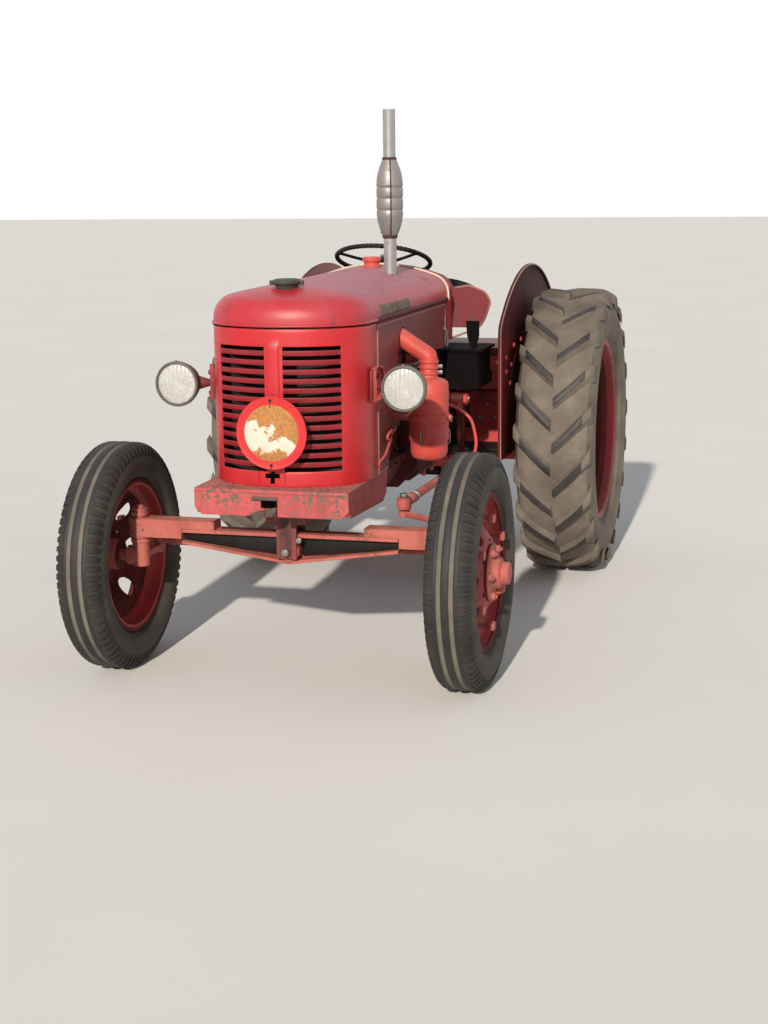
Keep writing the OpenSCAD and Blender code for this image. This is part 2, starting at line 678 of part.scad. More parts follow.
module controls() color(iron) place() {
    // Two levers on the gearbox and a pedal on each side
    lever_y = housing_y - 138;
    for (x = [0, 80]) rod_z(gearbox_top, gearbox_top + 24, x, lever_y, 44);
    lever([0, lever_y, gearbox_top + 12], [-20, lever_y + 80, 1124], 16, 40);
    lever([80, lever_y, gearbox_top + 12], [130, lever_y + 90, 1044], 14, 34);
    both_sides() translate([0, housing_y - 118, 0]) {
        rod_x(gearbox_hw, 300, 0, 640, 26);
        slab_yz(262, 12) polygon([[-10, 640], [10, 640], [-38, 790], [-76, 826], [-86, 816], [-54, 782]]);
        block(236, 306, -94, -62, 818, 830);
    }
}

// Front axle

beam_top = front_r + 103.5;
outer_top = beam_top + 28;
boss_z = outer_top - 68;
beam_dip = beam_top - 102;

module front_axle() color(worn_paint) place() {
    // Centre beam: straight top flange, web and a lower flange that dips to the middle
    difference() {
        union() {
            block(-372, 372, -axle_half, axle_half, beam_top - 12, beam_top);
            slab_xz(8, 14) polygon([
                [-372, beam_top - 2], [-372, beam_top - 50], [0, beam_dip + 4], [372, beam_top - 50],
                [372, beam_top - 2]]);
            slab_xz(-axle_half, 2 * axle_half) polygon([
                [-372, beam_top - 50], [0, beam_dip], [372, beam_top - 50],
                [372, beam_top - 40], [0, beam_dip + 10], [-372, beam_top - 40]]);
            rod_y(-axle_half - 5, axle_half + 5, 0, pivot_z, 76);
        }
        rod_y(-axle_half - 6, axle_half + 6, 0, pivot_z, 30 + 2 * run_gap);
    }
    rod_y(-62, axle_half + 26, 0, pivot_z, 30);
    // Outer beams lie on the centre beam and carry the kingpin bosses
    both_sides() difference() {
        union() {
            block(258, kingpin_x + 6, -axle_half + 2, axle_half - 2, boss_z + 6, outer_top);
            rod_z(boss_z, outer_top, kingpin_x, 0, 2 * axle_half);
        }
        block(256, 374, -axle_half - 1, axle_half + 1, boss_z - 6, beam_top + seat_gap);
        rod_z(boss_z - 6, outer_top + 6, kingpin_x, 0, kingpin_d + 2 * run_gap);
    }
}

// Knuckle: kingpin, stub axle, rear arm for the track rod
knuckle_top = boss_z - thrust_gap;
rod_z0 = front_r + 21.5;
pin_d = 16;

module knuckle() {
    rod_z(front_r - 20, outer_top + 22, kingpin_x, 0, kingpin_d);
    rod_z(front_r - 34, knuckle_top, kingpin_x, 0, 58);
    rod_x(kingpin_x, kingpin_x + 44, 0, front_r, 66);
    rod_x(kingpin_x + 40, 724, 0, front_r, stub_d);
    // Cap and clamp over the boss
    rod_z(outer_top + thrust_gap, outer_top + 31, kingpin_x, 0, 50);
    // Track rod arm
    block(kingpin_x - 13, kingpin_x + 13, 20, rod_arm, rod_z0 - 34, rod_z0 - 14);
    rod_z(rod_z0 - 34, rod_z0 - 14, kingpin_x, rod_arm, 36);
    rod_z(rod_z0 - 15, rod_z0 + 16, kingpin_x, rod_arm, pin_d);
}

ball = [kingpin_x - ball_in, ball_back];

module knuckle_left() color(worn_paint) place() {
    knuckle();
    // Steering arm to the drag link
    arm_z = link_z - 36;
    bar([kingpin_x - 10, 8, outer_top + 19], [ball[0], ball[1], arm_z], 20);
    rod_z(arm_z - 10, arm_z + 10, ball[0], ball[1], 38);
    rod_z(arm_z, link_z + 20, ball[0], ball[1], pin_d);
}
module knuckle_right() color(worn_paint) place() mirror([1, 0, 0]) knuckle();

link_rear_x = ball[0];
link_rear_z = 552;

module drag_link() color(worn_paint) place() {
    difference() {
        union() {
            rod_z(link_z - 20, link_z + 18, ball[0], ball[1], 46);
            bar([ball[0], ball[1] + 12, link_z], [link_rear_x, drop_y - 6, link_rear_z], link_d);
        }
        rod_z(link_z - 30, link_z + 30, ball[0], ball[1], pin_d + 2 * run_gap);
    }
    rod_x(link_rear_x - 22, link_rear_x + 22, drop_y, link_rear_z, 46);
}

arm_x = link_rear_x - 22 - thrust_gap;

module drop_arm() color(cast_paint) place() {
    rod_x(200, arm_x - 12, drop_y, drop_z, 36);
    rod_x(264, arm_x - 12, drop_y, drop_z, 62);
    slab_yz(arm_x - 34, 20) polygon([
        [drop_y - 26, drop_z], [drop_y + 26, drop_z], [drop_y + 15, link_rear_z],
        [drop_y - 15, link_rear_z]]);
    rod_x(arm_x - 34, arm_x, drop_y, link_rear_z, 34);
}

module track_rod() color(worn_paint) place() {
    difference() {
        union() {
            both_sides() rod_z(rod_z0 - 13.5, rod_z0 + 13, kingpin_x, rod_arm, 36);
            rod_x(-kingpin_x + 12, kingpin_x - 12, rod_arm, rod_z0, 24);
        }
        both_sides() rod_z(rod_z0 - 20, rod_z0 + 20, kingpin_x, rod_arm, pin_d + 2 * run_gap);
    }
}

module steering_wheel() color(iron) place() along_column(0) {
    rotate_extrude() translate([wheel_d / 2 - 9.5, 0]) circle(d = 19);
    for (k = [0:2]) rotate([0, 0, 90 + 120 * k]) translate([0, 0, -6])
        rotate([0, 90, 0]) cylinder(d = 13, h = wheel_d / 2 - 12);
    translate([0, 0, -28]) cylinder(d = 56, h = 40);
    translate([0, 0, -300]) cylinder(d = 22, h = 280);
}

// Wheels

front_x = front_track / 2;
rear_x = rear_track / 2;

// Rim: a drop-centre channel turned about X
module turned(x, y, z) translate([x, y, z]) rotate([0, 90, 0]) rotate_extrude() children();

module rim_profile(rim_d, w) {
    r = rim_d / 2;
    polygon([
        [r + 16, -w / 2], [r + 18, -w / 2 + 6], [r + 2, -w / 2 + 9], [r, -w / 2 + 38],
        [r - 22, -w / 2 + 56], [r - 22, w / 2 - 56], [r, w / 2 - 38], [r + 2, w / 2 - 9],
        [r + 18, w / 2 - 6], [r + 16, w / 2], [r - 4, w / 2 - 3], [r - 6, w / 2 - 36],
        [r - 28, w / 2 - 54], [r - 28, -w / 2 + 54], [r - 6, -w / 2 + 36], [r - 4, -w / 2 + 3]]);
}

front_rim_w = 118;
rear_rim_w = 250;

module front_wheel() {
    turned(front_x, 0, front_r) rim_profile(front_rim_d, front_rim_w);
    // Pressed disc, dished outboard, with round windows
    difference() {
        turned(front_x, 0, front_r) polygon([
            [front_rim_d / 2 - 26, -2], [front_rim_d / 2 - 26, 8], [170, 14], [130, 44],
            [60, 52], [60, 44], [124, 36], [162, 6], [176, -2]]);
        for (k = [0:5]) translate([front_x, 0, front_r]) rotate([30 + 60 * k, 0, 0])
            translate([0, 0, 152]) rotate([0, 90, 0]) cylinder(d = 62, h = 120, center = true);
    }
    // Hub and cap on the stub axle
    difference() {
        union() {
            rod_x(front_x + 4, front_x + 104, 0, front_r, 104);
            rod_x(front_x + 40, front_x + 56, 0, front_r, 150);
            rod_x(front_x + 103, front_x + 134, 0, front_r, 74);
        }
        rod_x(front_x, front_x + 124, 0, front_r, stub_d + 2 * run_gap);
    }
}

module front_tyre_profile() {
    r = front_r;
    w = front_tyre_w / 2;
    b = front_rim_d / 2;
    // Radii of the widest point, the shoulder and the cavity, as shares of the section height
    h = r - b;
    wide = b + 0.425 * h;
    side = b + 0.60 * h;
    shoulder = b + 0.845 * h;
    low = b + 0.285 * h;
    high = b + 0.715 * h;
    roof = b + 0.86 * h;
    polygon([
        [b + 2.2, -47], [b + 19, -50], [b + 20, -60], [wide, -w], [side, -w + 4], [shoulder, -w + 18],
        [r - 6, -w + 34], [r - 2, -38], [r, -24], [r, -20], [r - 9, -18], [r - 9, -12],
        [r, -10], [r, 10], [r - 9, 12], [r - 9, 18], [r, 20], [r, 24], [r - 2, 38],
        [r - 6, w - 34], [shoulder, w - 18], [side, w - 4], [wide, w], [b + 20, 60],
        [b + 19, 50], [b + 2.2, 47], [b + 14, 40], [low, 62], [high, 58], [roof, 30], [roof, -30],
        [high, -58], [low, -62], [b + 14, -40]]);
}

module front_tyre() turned(front_x, 0, front_r) front_tyre_profile();

module rear_wheel() {
    turned(rear_x, wheelbase, rear_r) rim_profile(rear_rim_d, rear_rim_w);
    turned(rear_x, wheelbase, rear_r) polygon([
        [rear_rim_d / 2 - 26, -60], [rear_rim_d / 2 - 26, -50], [300, -52], [250, -88],
        [120, -104], [120, -112], [254, -98], [306, -62]]);
    // Hub on the axle shaft
    rod_x(330, 560, wheelbase, rear_r, shaft_d);
    rod_x(508, 534, wheelbase, rear_r, 260);
    rod_x(490, 580, wheelbase, rear_r, 130);
}

module rear_carcass() rotate([0, 90, 0]) rotate_extrude($fn = 2 * lugs) {
    r = rear_r - lug_h;
    w = rear_tyre_w / 2;
    b = rear_rim_d / 2;
    polygon([
        [b + 3.6, -112], [b + 21, -116], [b + 74, -w], [r - 50, -w + 4], [r - 12, -w + 34], [r, 0],
        [r - 12, w - 34], [r - 50, w - 4], [b + 74, w], [b + 21, 116], [b + 3.6, 112]]);
}

// One lug from the middle of the tread out to the shoulder, swept back by lug_sweep.
// Columns: distance from the centre plane, share of the sweep, drop of the top, width
lug_sweep = 15;
module lug() hull() {
    stations = [[10, 0, 0, lug_w - 4], [rear_tyre_w / 2 - 14, 1, 30, lug_w + 6]];
    for (s = stations) rotate([-lug_sweep * s[1], 0, 0])
        translate([s[0] - 5, -s[3] / 2, rear_r - s[2] - lug_h - 8]) cube([10, s[3], lug_h + 8]);
}

module rear_tyre() translate([rear_x, wheelbase, rear_r]) {
    rear_carcass();
    for (k = [0:lugs - 1]) {
        rotate([360 / lugs * k, 0, 0]) lug();
        rotate([360 / lugs * (k + 0.5), 0, 0]) mirror([1, 0, 0]) lug();
    }
}

module front_wheel_left() color(paint) place() front_wheel();
module front_wheel_right() color(paint) place() mirror([1, 0, 0]) front_wheel();
module front_tyre_left() color(rubber) place() front_tyre();
module front_tyre_right() color(rubber) place() mirror([1, 0, 0]) front_tyre();
module rear_wheel_left() color(paint) place() rear_wheel();
module rear_wheel_right() color(paint) place() mirror([1, 0, 0]) rear_wheel();
module rear_tyre_left() color(dusty_rubber) place() rear_tyre();
module rear_tyre_right() color(dusty_rubber) place() mirror([1, 0, 0]) rear_tyre();

front_bolster();
nose_cowl();
radiator();
speed_disc();
bonnet();
side_panel_left();
side_panel_right();
engine();
dynamo();
air_cleaner();
exhaust_stack();
filler_caps();
transmission();
rear_axle();
scuttle();
dash_panel();
battery_box();
steering_box();
seat();
seat_support();
toolbox();
footplate_left();
footplate_right();
fender_left();
fender_right();
headlamp_left();
headlamp_right();
drawbar();
pto_shaft();
controls();
front_axle();
steering_wheel();
knuckle_left();
knuckle_right();
drag_link();
drop_arm();
track_rod();
front_wheel_left();
front_wheel_right();
front_tyre_left();
front_tyre_right();
rear_wheel_left();
rear_wheel_right();
rear_tyre_left();
rear_tyre_right();
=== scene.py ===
"""Vintage tractor: sheet metal, rubber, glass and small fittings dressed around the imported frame.

Metres, in the frame's own axes: the front faces -Y, +X is the tractor's left, Z is up.
Stations are measured back from the front axle line, as in the part's source.
"""

from __future__ import annotations

import json
import logging
from dataclasses import dataclass
from enum import Enum
from math import asin, atan2, cos, hypot, pi, radians, sin, sqrt, tau
from typing import Callable, Iterable, Iterator, Sequence

import bmesh
import bpy
from mathutils import Matrix, Vector
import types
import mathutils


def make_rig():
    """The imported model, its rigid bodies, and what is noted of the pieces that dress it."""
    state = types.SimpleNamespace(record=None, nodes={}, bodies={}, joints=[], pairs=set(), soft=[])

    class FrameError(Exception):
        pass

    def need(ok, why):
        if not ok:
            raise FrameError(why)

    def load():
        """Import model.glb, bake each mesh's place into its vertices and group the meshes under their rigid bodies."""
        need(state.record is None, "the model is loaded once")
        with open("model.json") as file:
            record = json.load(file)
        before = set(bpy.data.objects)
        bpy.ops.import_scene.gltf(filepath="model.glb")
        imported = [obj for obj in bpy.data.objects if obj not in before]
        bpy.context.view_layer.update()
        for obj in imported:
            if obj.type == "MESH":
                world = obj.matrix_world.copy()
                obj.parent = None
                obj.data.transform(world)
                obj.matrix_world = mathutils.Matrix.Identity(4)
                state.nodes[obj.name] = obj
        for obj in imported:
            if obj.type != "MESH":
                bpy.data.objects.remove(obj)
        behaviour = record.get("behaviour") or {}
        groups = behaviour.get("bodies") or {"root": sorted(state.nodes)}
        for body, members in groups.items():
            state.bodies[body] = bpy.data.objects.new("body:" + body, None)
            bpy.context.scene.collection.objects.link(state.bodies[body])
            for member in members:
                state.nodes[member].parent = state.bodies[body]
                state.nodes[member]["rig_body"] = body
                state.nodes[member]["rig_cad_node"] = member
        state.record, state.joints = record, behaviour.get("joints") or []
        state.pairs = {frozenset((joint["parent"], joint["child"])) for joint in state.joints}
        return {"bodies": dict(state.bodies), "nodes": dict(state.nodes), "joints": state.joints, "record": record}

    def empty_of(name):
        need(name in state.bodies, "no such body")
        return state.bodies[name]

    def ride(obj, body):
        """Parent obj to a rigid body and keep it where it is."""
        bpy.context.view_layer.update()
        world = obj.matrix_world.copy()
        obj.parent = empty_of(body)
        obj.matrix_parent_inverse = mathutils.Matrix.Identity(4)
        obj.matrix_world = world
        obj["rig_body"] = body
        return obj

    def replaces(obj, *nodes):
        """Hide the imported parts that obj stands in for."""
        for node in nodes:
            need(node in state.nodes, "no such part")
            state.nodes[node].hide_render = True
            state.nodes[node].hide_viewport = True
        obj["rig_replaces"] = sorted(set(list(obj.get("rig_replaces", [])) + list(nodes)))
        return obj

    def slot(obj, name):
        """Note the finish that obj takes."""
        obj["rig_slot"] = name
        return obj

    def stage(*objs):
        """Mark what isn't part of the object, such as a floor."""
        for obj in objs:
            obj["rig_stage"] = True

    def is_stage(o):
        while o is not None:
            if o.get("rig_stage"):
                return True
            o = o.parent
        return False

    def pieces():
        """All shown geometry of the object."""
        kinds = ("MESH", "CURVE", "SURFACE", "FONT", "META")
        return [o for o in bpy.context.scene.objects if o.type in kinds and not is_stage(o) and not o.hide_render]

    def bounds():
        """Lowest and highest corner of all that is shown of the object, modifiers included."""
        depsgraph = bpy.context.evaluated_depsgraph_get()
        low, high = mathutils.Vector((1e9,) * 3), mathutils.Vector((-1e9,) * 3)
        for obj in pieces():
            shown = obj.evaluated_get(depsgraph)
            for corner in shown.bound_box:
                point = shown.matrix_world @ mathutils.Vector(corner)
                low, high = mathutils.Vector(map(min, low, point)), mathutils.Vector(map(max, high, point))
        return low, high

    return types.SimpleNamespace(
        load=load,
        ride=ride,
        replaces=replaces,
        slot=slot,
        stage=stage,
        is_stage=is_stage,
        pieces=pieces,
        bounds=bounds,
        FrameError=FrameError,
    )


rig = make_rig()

LOG = logging.getLogger("tractor")

AXLE_LINE = -1.03975
WHEELBASE = 1.85
FRONT_X, REAR_X = 0.605, 0.638
FRONT_R, REAR_R = 0.3825, 0.5835
KINGPIN_X = 0.535
SIZE_FILE = "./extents.json"

Point = Sequence[float]
Face = tuple[int, ...]
Tree, Node, Socket = bpy.types.NodeTree, bpy.types.Node, bpy.types.NodeSocket
Object, Material = bpy.types.Object, bpy.types.Material
WELD = 2e-5
SPECK = 1e-6
SIDES = (("left", 1), ("right", -1))
ORIGIN = (0, 0, 0)


def at(x: float, station: float, z: float) -> Vector:
    """The point at a station behind the front axle line."""
    return Vector((x, station + AXLE_LINE, z))


def near(centre: Vector, x: float, y: float, z: float) -> Vector:
    """The point at an offset from a centre."""
    return centre + Vector((x, y, z))


def linear(colour: str) -> tuple[float, float, float, float]:
    """Turns an sRGB hex colour to linear.

    Args:
        colour: six hex digits after a hash.

    Returns:
        Linear red, green, blue and an alpha of 1.
    """
    parts = [int(colour[i:i + 2], 16) / 255 for i in (1, 3, 5)]
    return tuple(c / 12.92 if c <= 0.04045 else ((c + 0.055) / 1.055) ** 2.4 for c in parts) + (1.0,)


def add(tree: Tree, kind: str, inputs: dict | None = None, **settings: object) -> Node:
    """Adds one node with its settings and links.

    Args:
        tree: the tree that gets the node.
        kind: the node's type.
        inputs: a value or an output socket for each input, by name or index.
        **settings: the node's own properties.

    Returns:
        The new node.
    """
    node = tree.nodes.new(kind)
    for key, value in settings.items():
        setattr(node, key, value)
    for key, value in (inputs or {}).items():
        if isinstance(value, Socket):
            tree.links.new(value, node.inputs[key])
        else:
            node.inputs[key].default_value = value
    return node


class Axis(Enum):
    """The axis that a turned or extruded form lies along."""

    X = 0
    Y = 1
    Z = 2

    def place(self, along: float, u: float, v: float) -> Vector:
        """A point from its distance along the axis and its two other coordinates in order."""
        return Vector(((along, u, v), (u, along, v), (u, v, along))[self.value])


X, Y, Z = Axis


def mm(rows: Iterable[Point]) -> list[tuple[float, ...]]:
    """Turns rows of millimetres into metres."""
    return [tuple(round(value / 1000, 7) for value in row) for row in rows]


# Finishes


class Finish:
    """A named surface finish that builds its node material once."""

    name: str

    def build(self, tree: Tree, shader: Node) -> None:
        """Adds the finish's own nodes to a new material's tree."""
        raise NotImplementedError

    def material(self) -> Material:
        """The material, made on first use."""
        found = bpy.data.materials.get(self.name)
        if found:
            return found
        made = bpy.data.materials.new(self.name)
        made.use_nodes = True
        tree = made.node_tree
        tree.nodes.clear()
        shader = add(tree, "ShaderNodeBsdfPrincipled")
        add(tree, "ShaderNodeOutputMaterial", {"Surface": shader.outputs[0]})
        self.build(tree, shader)
        return made


def noise(tree: Tree, scale: float, detail: float = 4.0, stretch: Point = (1, 1, 1), shift: float = 0.0,
        distortion: float = 0.0) -> Socket:
    """Fractal noise on Object coordinates.

    Args:
        tree: the material's tree.
        scale: waves a metre.
        detail: octaves.
        stretch: factor on each axis before the noise.
        shift: offset that makes this pattern differ from the others.
        distortion: how far the pattern is warped.

    Returns:
        The socket with the noise value.
    """
    spot = add(tree, "ShaderNodeTexCoord").outputs["Object"]
    turned = add(tree, "ShaderNodeMapping", {"Vector": spot, "Scale": stretch,
        "Location": (shift, shift, shift)})
    made = add(tree, "ShaderNodeTexNoise", {"Vector": turned.outputs[0], "Scale": scale, "Detail": detail,
        "Roughness": 0.6, "Distortion": distortion})
    return made.outputs["Fac"]


def ramp(tree: Tree, value: Socket, low: float, high: float, top: float = 1.0) -> Socket:
    """Maps value from low..high to 0..top and clamps it."""
    return add(tree, "ShaderNodeMapRange", {"Value": value, "From Min": low, "From Max": high,
        "To Max": top}).outputs[0]


def math_node(tree: Tree, operation: str, a: object, b: object) -> Socket:
    """One operation on two values or sockets, clamped to 0..1."""
    return add(tree, "ShaderNodeMath", {0: a, 1: b}, operation=operation, use_clamp=True).outputs[0]


def feed(tree: Tree, shader: Node, name: str, value: Socket) -> None:
    """Links a socket to a named input of the shader."""
    tree.links.new(value, shader.inputs[name])


def times(tree: Tree, a: object, b: object) -> Socket:
    """The product of two values, clamped to 0..1."""
    return math_node(tree, "MULTIPLY", a, b)


def plus(tree: Tree, a: object, b: object) -> Socket:
    """The sum of two values, clamped to 0..1."""
    return math_node(tree, "ADD", a, b)


def larger(tree: Tree, a: object, b: object) -> Socket:
    """The larger of two values, clamped to 0..1."""
    return math_node(tree, "MAXIMUM", a, b)


def scaled(tree: Tree, value: Socket, factor: float, offset: object) -> Socket:
    """A value times a factor plus an offset, without a clamp."""
    return add(tree, "ShaderNodeMath", {0: value, 1: factor, 2: offset},
        operation="MULTIPLY_ADD").outputs[0]


def place(tree: Tree) -> Sequence[Socket]:
    """Object coordinates, split into X, Y and Z."""
    spot = add(tree, "ShaderNodeTexCoord").outputs["Object"]
    return add(tree, "ShaderNodeSeparateXYZ", {0: spot}).outputs


def relief(tree: Tree, shader: Node, height: Socket, distance: float, strength: float = 0.5,
        **normal: Socket) -> None:
    """Raises the shader's surface by a height that is at most distance in metres."""
    bump = add(tree, "ShaderNodeBump", {"Height": height, "Distance": distance, "Strength": strength}
        | normal)
    tree.links.new(bump.outputs[0], shader.inputs["Normal"])


def blend(tree: Tree, share: object, a: object, b: object) -> Socket:
    """A colour between a and b."""
    return add(tree, "ShaderNodeMix", {0: share, 6: a, 7: b}, data_type="RGBA").outputs[2]


def facing_up(tree: Tree, low: float, high: float) -> Socket:
    """How far a face looks up, from 0 at low to 1 at high."""
    normal = add(tree, "ShaderNodeNewGeometry").outputs["Normal"]
    return ramp(tree, add(tree, "ShaderNodeSeparateXYZ", {0: normal}).outputs[2], low, high)


def edge_share(tree: Tree, radius: float) -> Socket:
    """1 along hard edges within radius, 0 on flat metal."""
    soft = add(tree, "ShaderNodeBevel", {"Radius": radius}, samples=4).outputs[0]
    hard = add(tree, "ShaderNodeNewGeometry").outputs["Normal"]
    dot = add(tree, "ShaderNodeVectorMath", {0: soft, 1: hard}, operation="DOT_PRODUCT").outputs["Value"]
    return ramp(tree, dot, 0.995, 0.9)


@dataclass(frozen=True)
class Enamel(Finish):
    """Brushed and sprayed machinery enamel, decades old: chalky where it looks up, chipped at edges.

    Alkyd enamel keeps some gloss on upright faces. Sun turns it pinkish and dull, and knocks show
    primer or rust.
    """

    name: str
    base: str
    faded: str
    bare: str
    fade: float = 0.3
    upward: float = 0.3
    patches: float = 0.6
    edges: float = 0.6
    dirt: str = "#3B2A22"
    dirtiness: float = 0.4
    roughness: float = 0.5
    dents: float = 0.1
    chip_scale: float = 90.0
    shade_band: tuple[float, float, float] | None = None
    spots: tuple[tuple[float, float, float, float], ...] = ()
    bleach_and_sheen: tuple[float, float] | None = None
    specular: float = 0.5

    def build(self, tree: Tree, shader: Node) -> None:
        """Fading, dirt runs, chips and dents.

        The darkened band gives the height where its painted shade is absent, the one where it is full, and its
        strength.
        Spots are worn places: the middle in x and height, and half the width and height.
        The upward tint's span along Y gives where it begins and where it is full; on the bonnet that tint is part sun
        bleaching, part painted sky reflection.
        """
        shader.inputs["Specular IOR Level"].default_value = self.specular
        x, y, height = place(tree)
        cloud = ramp(tree, noise(tree, 3.2, 5, shift=3), 0.38, 0.68, self.fade)
        # Upward faces take the faded colour: chalky sun fading, and on the bonnet also painted sky reflection
        above = times(tree, facing_up(tree, 0.55, 0.97), self.upward)
        if self.bleach_and_sheen:
            above = times(tree, above, ramp(tree, y, *self.bleach_and_sheen))
        sun = plus(tree, cloud, above)
        colour = blend(tree, sun, linear(self.base), linear(self.faded))
        # Rain leaves dull runs a few centimetres apart down the upright faces
        runs = ramp(tree, noise(tree, 14, 6, (1, 1, 0.12), shift=9), 0.5, 0.72, self.dirtiness)
        colour = blend(tree, runs, colour, linear(self.dirt))
        mottle = ramp(tree, noise(tree, 60, 8, shift=1), 0.35, 0.75, 0.14)
        colour = blend(tree, mottle, colour, linear(self.dirt))
        # Chips are 2 to 15 mm, in patches where the sheet was leant on
        fine = noise(tree, self.chip_scale, 9, shift=5, distortion=0.4)
        patch = ramp(tree, noise(tree, 5, 3, shift=7), self.patches, self.patches + 0.12)
        for middle, level, wide, high in self.spots:
            across = scaled(tree, x, 1 / wide, -middle / wide)
            upright = scaled(tree, height, 1 / high, -level / high)
            reach = plus(tree, times(tree, across, across), times(tree, upright, upright))
            patch = larger(tree, patch, ramp(tree, reach, 1.25, 0.75))
        chips = times(tree, ramp(tree, fine, 0.49, 0.54), patch)
        worn = times(tree, edge_share(tree, 0.004), ramp(tree, fine, 0.47, 0.53, self.edges))
        bare = larger(tree, chips, worn)
        colour = blend(tree, bare, colour, linear(self.bare))
        # Painted shade: a dark band of heights, broken up by the rain runs
        if self.shade_band:
            painted_shade = times(tree, ramp(tree, height, *self.shade_band), ramp(tree, runs, -0.6, 0.4))
            colour = blend(tree, painted_shade, colour, linear("#120C0B"))
        feed(tree, shader, "Base Color", colour)
        dull = plus(tree, ramp(tree, sun, 0, 1, 0.22), self.roughness)
        rough = plus(tree, dull, ramp(tree, bare, 0, 1, 0.2))
        feed(tree, shader, "Roughness", rough)
        waves = plus(tree, times(tree, noise(tree, 260, 3), 0.12),
            times(tree, noise(tree, 6.5, 2), self.dents))
        waves = math_node(tree, "SUBTRACT", waves, ramp(tree, bare, 0, 1, 0.05))
        rounded = add(tree, "ShaderNodeBevel", {"Radius": 0.002}, samples=4).outputs[0]
        relief(tree, shader, waves, 0.012, Normal=rounded)


@dataclass(frozen=True)
class Rubber(Finish):
    """Vulcanised tyre rubber, carbon black dulled by soil in the hollows and by sun on the ribs."""

    name: str
    base: str
    dust: str
    dustiness: float = 0.5
    roughness: float = 0.72
    scuffs: float = 0.2

    def build(self, tree: Tree, shader: Node) -> None:
        """Dust clouds, scuffs and a fine pebbled skin."""
        cloud = ramp(tree, noise(tree, 9, 7, shift=2), 0.3, 0.72, self.dustiness)
        colour = blend(tree, cloud, linear(self.base), linear(self.dust))
        scuff = ramp(tree, noise(tree, 55, 8, (1, 0.3, 1), shift=4, distortion=0.6), 0.58, 0.7,
            self.scuffs)
        colour = blend(tree, scuff, colour, linear("#15130F"))
        speck = ramp(tree, noise(tree, 210, 4, shift=6), 0.6, 0.75, 0.25)
        colour = blend(tree, speck, colour, linear(self.dust))
        feed(tree, shader, "Base Color", colour)
        feed(tree, shader, "Roughness", plus(tree, ramp(tree, cloud, 0, 1, 0.2), self.roughness))
        shader.inputs["Specular IOR Level"].default_value = 0.35
        skin = plus(tree, times(tree, noise(tree, 320, 5), 0.3), times(tree, noise(tree, 40, 5), 0.3))
        relief(tree, shader, skin, 0.004, 0.55)


@dataclass(frozen=True)
class Metal(Finish):
    """Bare or painted metal that has weathered: dull steel, aluminium paint or brightwork with rust."""

    name: str
    base: str
    rust: str
    rusting: float = 0.55
    metallic: float = 0.8
    roughness: float = 0.38
    grain: float = 0.1

    def build(self, tree: Tree, shader: Node) -> None:
        """Rust bloom, dull clouds and a fine grain."""
        bloom = times(tree, ramp(tree, noise(tree, 7, 6, shift=8), self.rusting, self.rusting + 0.15),
            ramp(tree, noise(tree, 70, 8, shift=5), 0.38, 0.6))
        cloud = ramp(tree, noise(tree, 26, 6, shift=2), 0.3, 0.75, 0.3)
        colour = blend(tree, cloud, linear(self.base), linear("#5A5650"))
        colour = blend(tree, bloom, colour, linear(self.rust))
        feed(tree, shader, "Base Color", colour)
        shine = math_node(tree, "SUBTRACT", self.metallic, bloom)
        feed(tree, shader, "Metallic", shine)
        rough = plus(tree, times(tree, bloom, 0.45),
            plus(tree, ramp(tree, cloud, 0, 0.3, 0.12), self.roughness))
        feed(tree, shader, "Roughness", rough)
        skin = plus(tree, times(tree, noise(tree, 240, 5), self.grain), times(tree, bloom, 0.3))
        relief(tree, shader, skin, 0.003)


@dataclass(frozen=True)
class Glass(Finish):
    """Pressed soda-lime lamp glass with road film on it, with a slight grey cast; part of it is diffuse near-white, a
    painted reflection that brightens the lens.
    """

    name: str
    colour: str = "#F4F5F2"
    roughness: float = 0.12

    def build(self, tree: Tree, shader: Node) -> None:
        """Glass, partly diffuse near-white as painted reflection, with a faint dirt film in its roughness."""
        shader.inputs["Base Color"].default_value = linear(self.colour)
        # Only part of the light passes through; the rest is diffuse near-white: painted reflection
        shader.inputs["Transmission Weight"].default_value = 0.62
        shader.inputs["IOR"].default_value = 1.5
        film = ramp(tree, noise(tree, 30, 5, shift=3), 0.4, 0.75, 0.35)
        feed(tree, shader, "Roughness", plus(tree, film, self.roughness))


@dataclass(frozen=True)
class SignFace(Finish):
    """Blank enamelled disc plate: white enamel, rusted through in orange patches above and below."""

    name: str
    height: float
    white: str = "#DAD3C4"
    rust: str = "#B98048"

    def build(self, tree: Tree, shader: Node) -> None:
        """Rust spreads from the upper edge and from the lowest point."""
        x, _, z = place(tree)
        # The upper rust hangs lower on the tractor's left
        tilt = scaled(tree, x, 0.35, z)
        above = ramp(tree, tilt, self.height - 0.05, self.height + 0.06)
        below = ramp(tree, z, self.height - 0.04, self.height - 0.084)
        ragged = scaled(tree, noise(tree, 26, 12, shift=4, distortion=0.25), 2.4, -1.2)
        share = add(tree, "ShaderNodeMath", {0: larger(tree, above, below), 1: ragged}).outputs[0]
        eaten = ramp(tree, share, 0.42, 0.56)
        dark = ramp(tree, noise(tree, 95, 8, shift=2, distortion=0.5), 0.45, 0.72, 0.75)
        rusty = blend(tree, dark, linear(self.rust), linear("#7E4A26"))
        stained = blend(tree, ramp(tree, noise(tree, 30, 6, shift=6), 0.45, 0.8, 0.4), linear(self.white),
            linear("#BFAE92"))
        feed(tree, shader, "Base Color", blend(tree, eaten, stained, rusty))
        feed(tree, shader, "Roughness", ramp(tree, eaten, -1.2, 1.0, 0.85))
        relief(tree, shader, times(tree, eaten, noise(tree, 260, 5)), 0.002)


